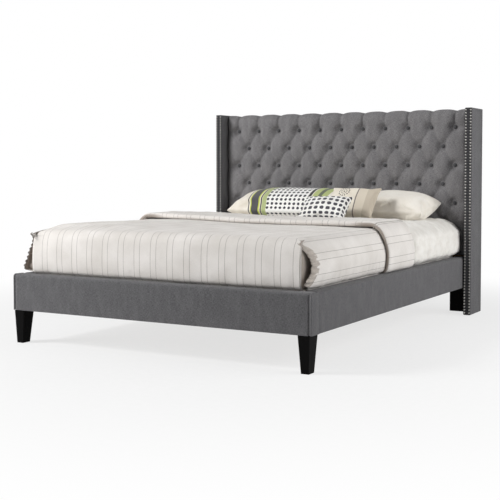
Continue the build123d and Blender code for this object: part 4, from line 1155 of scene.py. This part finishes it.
def striped_coverlet():
    """The cover, with a pleat tucked in at each front corner."""
    bm, paths = spread_cover(flat_half, flat_foot, flat_back, top_cover - 0.0005, side_drop, foot_drop,
                             pitch=cover_pitch)
    flat = bm.verts.layers.float_vector["flat"]
    out = bm.verts.layers.float_vector["out"]
    wide = [edge for edge in bm.edges
            if round(edge.verts[0][out].z) == round(edge.verts[1][out].z) > 0
            and any(abs(vert[out].x) == 1 and vert[out].y == -1 for vert in edge.verts)]
    bmesh.ops.subdivide_edges(bm, edges=wide, cuts=corner_cuts - 1, use_grid_fill=True)
    respaced_end = foot_face + 0.36
    pleat = bm.verts.layers.float.new("pleat")
    for vert in bm.verts:
        out_x, out_y, ring = vert[out]
        ring = round(ring)
        if ring == 0 or not out_x or vert.co.y > respaced_end:
            continue
        side = math.copysign(1, out_x)
        side_out, side_down = paths["side"][0][ring]
        foot_out, foot_down = paths["foot"][0][ring]
        column = corner_cuts * (1 + abs(out_x) + out_y)
        if out_y == 0:
            column += (vert.co.y - flat_foot) / row_step - 1
        side_x = flat_half + side_out
        foot_y = flat_foot - foot_out
        height = top_cover - mix(foot_down, side_down, min(column / (2 * corner_cuts), 1.0))
        flare, edge_y = front_edge(height, side)
        if column <= 2 * corner_cuts:
            calm = rounded_corner(side_x, foot_y, flat_foot + row_step, column)
        else:
            calm = Vector((side_x, vert.co.y))
        calm.x += flare
        if column < front_column:
            deep = pleated_corner(side_x + flare, foot_y, edge_y, column)
            if column > fold_column:
                # Painted shade: this share gives the pleat's inner panel its darker taupe, and it also calms
                # the folds there.
                vert[pleat] = smooth(front_column, front_column - 1.5, column) * smooth(0.583, 0.566, height)
        else:
            first_y = flat_foot + 3 * row_step
            share = (vert.co.y - first_y) / (respaced_end - first_y)
            deep = Vector((side_x + flare, mix(edge_y + 0.0016, respaced_end, share)))
        turned = smooth(0.583, 0.556, height) * smooth(0.346, 0.357, height)
        place = calm.lerp(deep, turned)
        vert.co = Vector((side * place.x, place.y, height))
        if column <= fold_column:
            vert[flat].x = side * mix(abs(vert[flat].x), place.x, turned)
    for vert in bm.verts:
        x, y, z = vert.co
        if x < 0 and vert[out].x and y > respaced_end:
            vert.co.x -= left_flare(z) * (1 - smooth(0.0, 0.60, y - respaced_end))

    def soft_folds(vert):
        x, y, z = vert.co
        u, v, _ = vert[flat]
        drop = smooth(top_cover - 0.02, top_cover - 0.12, z)
        low = smooth(0.50, 0.365, z) * smooth(0.350, 0.362, z)
        lift = 0.0025 * wobble(1.3, u * 3.1, v * 1.7) * (1 - drop)
        lift -= 0.0045 * smooth(0.45, 0.72, abs(x)) * (1 - drop)
        lift += 0.0035 * drop * wobble(6.1, u * 4.0, v * 4.0)
        on_foot = y < flat_foot - 0.06
        run = u if on_foot else v
        calm = 0.35 if on_foot else 1.0
        lift += 0.0030 * calm * low * wobble(8.8, run * 28, z * 9)
        lift += 0.0022 * calm * low * wobble(2.9, run * 70, z * 14)
        lift += 0.0012 * drop * wobble(7.5, run * 16, z * 3)
        if not on_foot:
            from_edge = max(y - foot_face - pleat_inset - fold_edge(z, x), 0.0)
            pucker = math.exp(-(from_edge / 0.035) ** 2) * drop
            lift += 0.0035 * pucker * wobble(3.9, z * 75, y * 12)
        return lift * smooth(0.346, 0.360, z) * (1 - 0.8 * vert[pleat])

    shift_along_normals(bm, soft_folds)
    settled(bm)
    return bm


coverlet_piece = finished(striped_coverlet(), "striped_coverlet", "coverlet", "mattress_set",
                          bedding_stripe)
thickened(coverlet_piece)
side_run = path_through(side_drop, 0.008)[1][-1]
foot_run = path_through(foot_drop, 0.008)[1][-1]


def corner_ruffle(side):
    """A gathered hem strip sewn on along a side drop's front edge."""
    hem_low, hem_high = 0.361, 0.566
    pucker, reach_out = (0.0028, 0.036) if side > 0 else (0.0010, 0.004)
    bm = flat_grid(10, 120)
    flat = bm.verts.layers.float_vector.new("flat")
    for vert in bm.verts:
        across = (vert.co.x + 1) / 2
        height = mix(hem_low, hem_high, (vert.co.y + 1) / 2)
        reach = 0.0
        for (first_out, first_down), (last_out, last_down) in zip(side_drop, side_drop[1:]):
            if first_down <= top_cover - height <= last_down:
                reach = mix(first_out, last_out, (top_cover - height - first_down) / (last_down - first_down))
        flare, edge_y = front_edge(height, side)
        turn = 2 * math.pi * height / 0.0215 + 2.4 * wobble(5.1, height * 25, side)
        free = 1 - across
        forward = reach_out * smooth(0.575, 0.520, height)
        ends = smooth(hem_low, 0.385, height) * smooth(hem_high, 0.535, height)
        puff = 0.0075 * math.sin(math.pi * min(across + 0.15, 1.0))
        puff += pucker * math.sin(turn) * mix(0.4, 1.0, free)
        x = flat_half + reach + flare + 0.0018 + (max(puff, 0.0) - 0.006 * free) * ends
        y = edge_y - forward * ends + (ruffle_width + forward) * across * mix(0.15, 1.0, ends)
        y += 0.7 * pucker * free * math.cos(turn) * ends
        vert.co = Vector((side * x, y, height))
        vert[flat] = Vector((across * 0.03, height * 2, 0))
    face_towards(bm, Vector((side, 0, 0)))
    keep_flat_layout(bm)
    name = "right" if side > 0 else "left"
    # The ruffle's darker taupe cloth is painted shade.
    ruffle = finished(bm, f"{name}_corner_ruffle", "coverlet", "mattress_set", hem_cloth_painted_shade)
    return thickened(ruffle, 0.0014)


2 * (flat_half + side_run)
coverlet_high.y - flat_foot + foot_run
corner_ruffle(-1)
corner_ruffle(1)


pad_inset = 0.070


def white_mattress_pad():
    """The quilted pad, tight under the coverlet and fluffy where it shows."""
    tight = [(0.0, 0.0), (0.024, 0.002), (0.044, 0.011), (0.056, 0.024), (0.061, 0.045), (0.062, 0.09),
             (0.062, 0.14), (0.062, 0.19), (0.062, 0.222), (0.062, 0.230), (0.062, 0.240)]
    head = [(0.0, 0.0), (0.036, 0.002), (0.056, 0.011), (0.068, 0.024), (0.0725, 0.045), (0.073, 0.09),
            (0.073, 0.14), (0.073, 0.19), (0.073, 0.222), (0.073, 0.230), (0.073, 0.240)]
    foot = [(outward + 0.008, drop) if outward else (outward, drop) for outward, drop in tight]
    bm, _ = spread_cover(flat_half, mattress_low.y + pad_inset, mattress_high.y - pad_inset,
                         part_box("mattress_pad")[1].z - 0.0006, tight, foot, head, 0.0100)
    flat = bm.verts.layers.float_vector["flat"]
    free = cuff_high.y
    for vert in bm.verts:
        x, y, z = vert.co
        shown = smooth(free - 0.03, free + 0.05, y)
        belly = smooth(0.578, 0.50, z) * smooth(0.352, 0.392, z)
        if abs(x) > flat_half + 0.01:
            vert.co.x += math.copysign((0.052 * belly + 0.006 * smooth(0.58, 0.55, z)) * shown, x)
        if z < 0.36 and abs(x) > flat_half:
            vert.co.x = math.copysign(min(abs(vert.co.x), 0.7665), x)

    def fluff(vert):
        x, y, z = vert.co
        u, v, _ = vert[flat]
        shown = smooth(free - 0.01, free + 0.06, y)
        shown *= smooth(mattress_high.y + 0.004, mattress_high.y - 0.05, y)
        side = smooth(0.69, 0.75, abs(x))
        low_part = smooth(0.46, 0.368, z) * smooth(0.35, 0.364, z)
        puffs = abs(wobble(1.9, u * 13, v * 13)) + 0.6 * abs(wobble(4.3, u * 31, v * 31))
        lift = 0.010 * puffs * mix(1.0, 1.15, side)
        lift += 0.0040 * abs(wobble(6.3, u * 60, v * 60))
        lift += 0.0060 * low_part * (abs(wobble(5.5, v * 34, z * 9)) * 2 - 0.6)
        lift += 0.003 * side * wobble(8.1, v * 9, z * 12)
        return lift * shown * smooth(0.345, 0.362, z)

    shift_along_normals(bm, fluff)
    settled(bm)
    return bm


pad_cover = finished(white_mattress_pad(), "white_mattress_pad", "mattress_pad", "mattress_set",
                     pad_white)
thickened(pad_cover)


def folded_cuff():
    """The coverlet's end folded back: a loft that follows the drops and rolls at both edges."""
    half_path, half_run = path_through([(0.0, 0.0), (flat_half / 2, 0.0)]
                                       + [(flat_half + outward, drop) for outward, drop in side_drop], 0.0085)
    section = [(-x, drop, -run) for (x, drop), run in zip(half_path[:0:-1], half_run[:0:-1])]
    section += [(x, drop, run) for (x, drop), run in zip(half_path, half_run)]
    front = cuff_low.y + 0.004
    back = cuff_high.y
    crest = cuff_high.z - top_cover
    stations = [(0.060, 0.06), (0.045, 0.05), (0.030, 0.05)]
    for part in range(13):
        turn = math.pi * part / 12
        stations.append((0.017 * (1 - math.sin(turn)), 0.5 - 0.5 * math.cos(turn)))
    for place in steps_between(0.0, 1.0, 0.024):
        stations.append((mix(0.022, back - front - 0.016, place), 1.0))
    for part in range(6):
        turn = math.pi / 2 * part / 5
        stations.append((back - front - 0.014 * (1 - math.sin(turn)), 0.45 + 0.55 * math.cos(turn)))
    bm = bmesh.new()
    flat = bm.verts.layers.float_vector.new("flat")
    painted_shade_share = bm.verts.layers.float.new("pleat")
    first = [bm.verts.new((x, 0, drop)) for x, drop, _ in section]
    for vert, (_, _, run) in zip(first, section):
        vert[flat] = Vector((run, 0, 0))
    edges = [bm.edges.new(pair) for pair in zip(first, first[1:])]
    rows = [first]
    for _ in stations[1:]:
        made = bmesh.ops.extrude_edge_only(bm, edges=edges)["geom"]
        fresh = set(only(bmesh.types.BMVert, made))
        edges = [edge for edge in only(bmesh.types.BMEdge, made) if fresh.issuperset(edge.verts)]
        rows.append(sorted(fresh, key=lambda vert: vert[flat].x))
    v_run = 0.0
    for index, ((along, height), row) in enumerate(zip(stations, rows)):
        if index:
            before = stations[index - 1]
            v_run += math.hypot(along - before[0], (height - before[1]) * crest)
        for column, (vert, (x, drop, run)) in enumerate(zip(row, section)):
            previous = section[max(column - 1, 0)]
            following = section[min(column + 1, len(section) - 1)]
            tangent = Vector((following[0] - previous[0], previous[1] - following[1])).normalized()
            normal = Vector((-tangent.y, tangent.x))
            if normal.y < 0 and abs(x) < flat_half:
                normal = -normal
            down = smooth(0.01, 0.09, drop)
            loft = mix(crest, 0.024, down) * mix(1.0, 0.2, smooth(0.210, 0.236, drop))
            slack = 1 + 0.10 * wobble(2.7, run * 5, along * 5) + 0.08 * wobble(6.6, run * 21, along * 9)
            rise = 0.0012 + loft * height * slack
            shift = 0.010 * wobble(3.3, run * 2.2, 0.5) + 0.004 * wobble(9.9, run * 11, 0.2)
            lean = 0.055 * smooth(0.35, 0.72, abs(x)) * (1 - smooth(0.02, 0.4, along)) if x < 0 else 0.0
            place_y = front + along + shift * (1 - along / (back - front)) + lean
            vert.co = Vector((x + normal.x * rise, place_y, top_cover - drop + normal.y * rise))
            vert.co.z += puffed_up(vert.co.x, vert.co.y) * (1 - smooth(0.04, 0.19, drop))
            vert[flat] = Vector((run, v_run, 0))
            # Painted shade: the roll's front face is marked for a darker taupe, more at the sides, through
            # the "pleat" attribute.
            at_side = smooth(flat_half - 0.16, flat_half + 0.02, abs(x))
            vert[painted_shade_share] = mix(0.10, 0.80, at_side) * smooth(0.95, 0.60, height) * smooth(0.022, 0.012, along)
    face_towards(bm, UP)
    keep_flat_layout(bm)
    return bm, 2 * half_run[-1], v_run


cuff_mesh, cuff_width, cuff_run = folded_cuff()
cuff_piece = finished(cuff_mesh, "folded_back_cuff", "folded_cover", "mattress_set", bedding_stripe)
thickened(cuff_piece)


# Pillows and cushions


def blown_up(piece, cap, frames=20, pressure=4.0):
    """Fill a closed cloth with air by simulation, and keep the result within a cap."""
    start = [Vector(vert.co) for vert in piece.data.vertices]
    cloth = piece.modifiers.new("air", "CLOTH")
    settings = cloth.settings
    settings.quality = 4
    settings.mass = 0.25
    settings.tension_stiffness = 18
    settings.compression_stiffness = 18
    settings.shear_stiffness = 8
    settings.bending_stiffness = 0.35
    settings.use_pressure = True
    settings.uniform_pressure_force = pressure
    settings.effector_weights.gravity = 0
    cloth.point_cache.frame_start = 1
    cloth.point_cache.frame_end = frames
    scene = bpy.context.scene
    for number in range(1, frames + 1):
        scene.frame_set(number)
    graph = bpy.context.evaluated_depsgraph_get()
    swollen = piece.evaluated_get(graph).data
    for vert, place, grown in zip(piece.data.vertices, start, swollen.vertices):
        move = grown.co - place
        if move.length > cap:
            move *= cap / move.length
        vert.co = place + move
    piece.modifiers.remove(cloth)
    scene.frame_set(1)


def stuffed(name, node, material, size, tilt, seed, drawn=0.02, voxel=0.006, cap=0.02,
            back_limit=None, taper=0.28, blunt=0.80):
    """A pillow: a flat case blown up, tilted, and pressed flat where it rests.

    Its thickness falls to the seam over the taper's length at each end, the more
    suddenly the lower blunt is.
    """
    width, depth, thickness = size
    taper = min(taper, width / 2)
    bm = bmesh.new()
    bmesh.ops.create_cube(bm, size=2.0)
    bmesh.ops.subdivide_edges(bm, edges=bm.edges, cuts=27, use_grid_fill=True)
    for vert in bm.verts:
        a, b, c = vert.co
        from_end = min((1 - abs(a)) * width / 2 / taper, 1.0)
        plump = (1 - (1 - from_end) ** 2) ** blunt * max(1 - b * b, 0.0) ** 0.72
        pull_x = 1 - drawn * (1 - b * b)
        pull_y = 1 - 1.6 * drawn * (1 - a * a)
        half = 0.5 * (thickness - 0.5 * cap) * plump
        sag = 0.004 * wobble(seed, a * 2.1, b * 2.1)
        vert.co = Vector((a * width / 2 * pull_x, b * depth / 2 * pull_y,
                          c * (0.0055 + half) + sag))
    case = placed(name + "_case", mesh_from(name + "_case", bm))
    remesh = case.modifiers.new("even", "REMESH")
    remesh.mode = "VOXEL"
    remesh.voxel_size = voxel
    graph = bpy.context.evaluated_depsgraph_get()
    even = bpy.data.meshes.new_from_object(case.evaluated_get(graph))
    bpy.data.objects.remove(case)
    piece = placed(name, even)
    blown_up(piece, cap)
    bm = bmesh.new()
    bm.from_mesh(piece.data)
    bmesh.ops.smooth_vert(bm, verts=bm.verts, factor=0.4, use_axis_x=True, use_axis_y=True, use_axis_z=True)
    bm.normal_update()
    flat = bm.verts.layers.float_vector.new("flat")
    for vert in bm.verts:
        x, y, z = vert.co
        fall = max(thickness / 2 - abs(z), 0.0)
        toward_x = (2 * x / width) ** 4
        toward_y = (2 * y / depth) ** 4
        both_ways = toward_x + toward_y + 0.02
        vert[flat] = Vector((x + math.copysign(fall * toward_x / both_ways, x),
                             y + math.copysign(fall * toward_y / both_ways, y), 0))
        edge_x = 1 - abs(x) / (width / 2)
        edge_y = 1 - abs(y) / (depth / 2)
        near_edge = math.exp(-(min(edge_x * width, edge_y * depth) / 2 / 0.022) ** 2)
        puckers = 0.0022 * near_edge * wobble(seed + 2.0, (x + y) * 55, z * 8)
        creases = 0.0018 * wobble(seed + 4.0, x * 9, y * 9)
        vert.co += vert.normal * (puckers + creases)
    keep_flat_layout(bm)
    bmesh.ops.rotate(bm, cent=(0, 0, 0), matrix=Matrix.Rotation(math.radians(tilt), 3, "X"), verts=bm.verts)
    low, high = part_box(node)
    own_low = Vector([min(vert.co[part] for vert in bm.verts) for part in range(3)])
    own_high = Vector([max(vert.co[part] for vert in bm.verts) for part in range(3)])
    move = (low + high) / 2 - (own_low + own_high) / 2
    move.z = high.z - own_high.z
    bmesh.ops.translate(bm, vec=move, verts=bm.verts)
    for vert in bm.verts:
        vert.co.z = max(vert.co.z, low.z + clearance)
        if back_limit is not None:
            vert.co.y = min(vert.co.y, back_limit)
    bm.to_mesh(piece.data)
    bm.free()
    shade(piece, True)
    finer = piece.modifiers.new("finer", "SUBSURF")
    finer.levels = 1
    finer.render_levels = 1
    stands_for(piece, node, node + "_body", material)


against_pad = pad_front - clearance
stuffed("banded_long_pillow", "banded_pillow", banded, (0.850, 0.372, 0.160), 14, 1.0,
        voxel=0.0066, back_limit=against_pad)
stuffed("ivory_pillow", "white_pillow", sateen, (0.497, 0.372, 0.165), 8, 7.0,
        back_limit=against_pad, taper=0.20, blunt=0.60)
stuffed("dotted_small_cushion", "dotted_cushion", dotted, (0.308, 0.202, 0.090), 45, 13.0,
        voxel=0.0045, cap=0.014, drawn=0.035)
stuffed("beige_small_cushion", "beige_cushion", beige, (0.320, 0.250, 0.085), 50, 19.0,
        voxel=0.0045, cap=0.012, drawn=0.03)


# Floor, background, light and camera


def pale_floor():
    """A pale floor that keeps the shadow near the bed and goes to plain white further out."""
    floor = placed("floor", mesh_from("floor", flat_grid(8, 8, 40.0)))
    finish = Finish("pale_floor", roughness=0.9)
    place = finish.place("Object")
    grain = finish.speckle(place, 30.0, 3.0)
    finish.colour(finish.blend(grain.ramp(0.3, 0.7), rgb(206, 206, 206), rgb(212, 212, 212)))
    across, along, _ = finish.parts(place)
    far = (across * across + along * along).power(0.5)
    glow = finish.node("ShaderNodeEmission", inputs={"Color": (1, 1, 1, 1), "Strength": 1.0})
    share = finish.seen_directly() * (far.ramp(1.2, 3.4) * 0.28 + 0.72)
    solid = Value(finish, finish.surface.outputs["BSDF"])
    mixed = finish.node("ShaderNodeMixShader", inputs={0: share, 1: solid, 2: glow})
    finish.feed(finish.tree.nodes["Material Output"].inputs["Surface"], mixed)
    floor.data.materials.append(finish.material)


def studio_world(strength):
    """White to the camera and in reflections, and a soft fill for the object."""
    world = bpy.data.worlds.new("studio")
    bpy.context.scene.world = world
    world.use_nodes = True
    studio = Nodes(world.node_tree)
    back = studio.tree.nodes["Background"].inputs
    studio.feed(back["Color"], (1, 1, 1, 1))
    level = studio.node("ShaderNodeMapRange", inputs={"Value": studio.seen_directly(), "To Min": strength,
                                                      "To Max": 1.0})
    studio.feed(back["Strength"], level)


def soft_lamp(name, place, target, size, power):
    """A square lamp that looks at a target."""
    lamp = bpy.data.lights.new(name, "AREA")
    lamp.shape = "SQUARE"
    lamp.size = size
    lamp.energy = power
    holder = placed(name, lamp)
    holder.location = place
    holder.rotation_euler = (Vector(target) - Vector(place)).to_track_quat("-Z", "Y").to_euler()


pale_floor()
studio_world(0.13)
soft_lamp("key", (-5.6, -5.2, 6.4), (0, 0.5, 0.7), 2.2, 620)
soft_lamp("front_left", (-3.2, -3.2, 1.6), (-0.3, -0.8, 0.4), 1.6, 80)
soft_lamp("right_back", (3.4, 0.9, 1.5), (0.5, 0, 0.4), 1.4, 38)
soft_lamp("right_front", (3.4, -0.6, 1.8), (0.5, -0.2, 0.4), 1.4, 38)

camera_data = bpy.data.cameras.new("camera")
camera_data.lens = 73.333
camera_data.sensor_width = 36.0
camera_data.shift_y = -0.0725
camera = placed("camera", camera_data)
camera.location = (2.781, -5.045, 0.8875)
camera.rotation_euler = (math.radians(87.5), 0, math.radians(29.75))
bpy.context.scene.camera = camera
bpy.context.scene.view_settings.view_transform = "Standard"
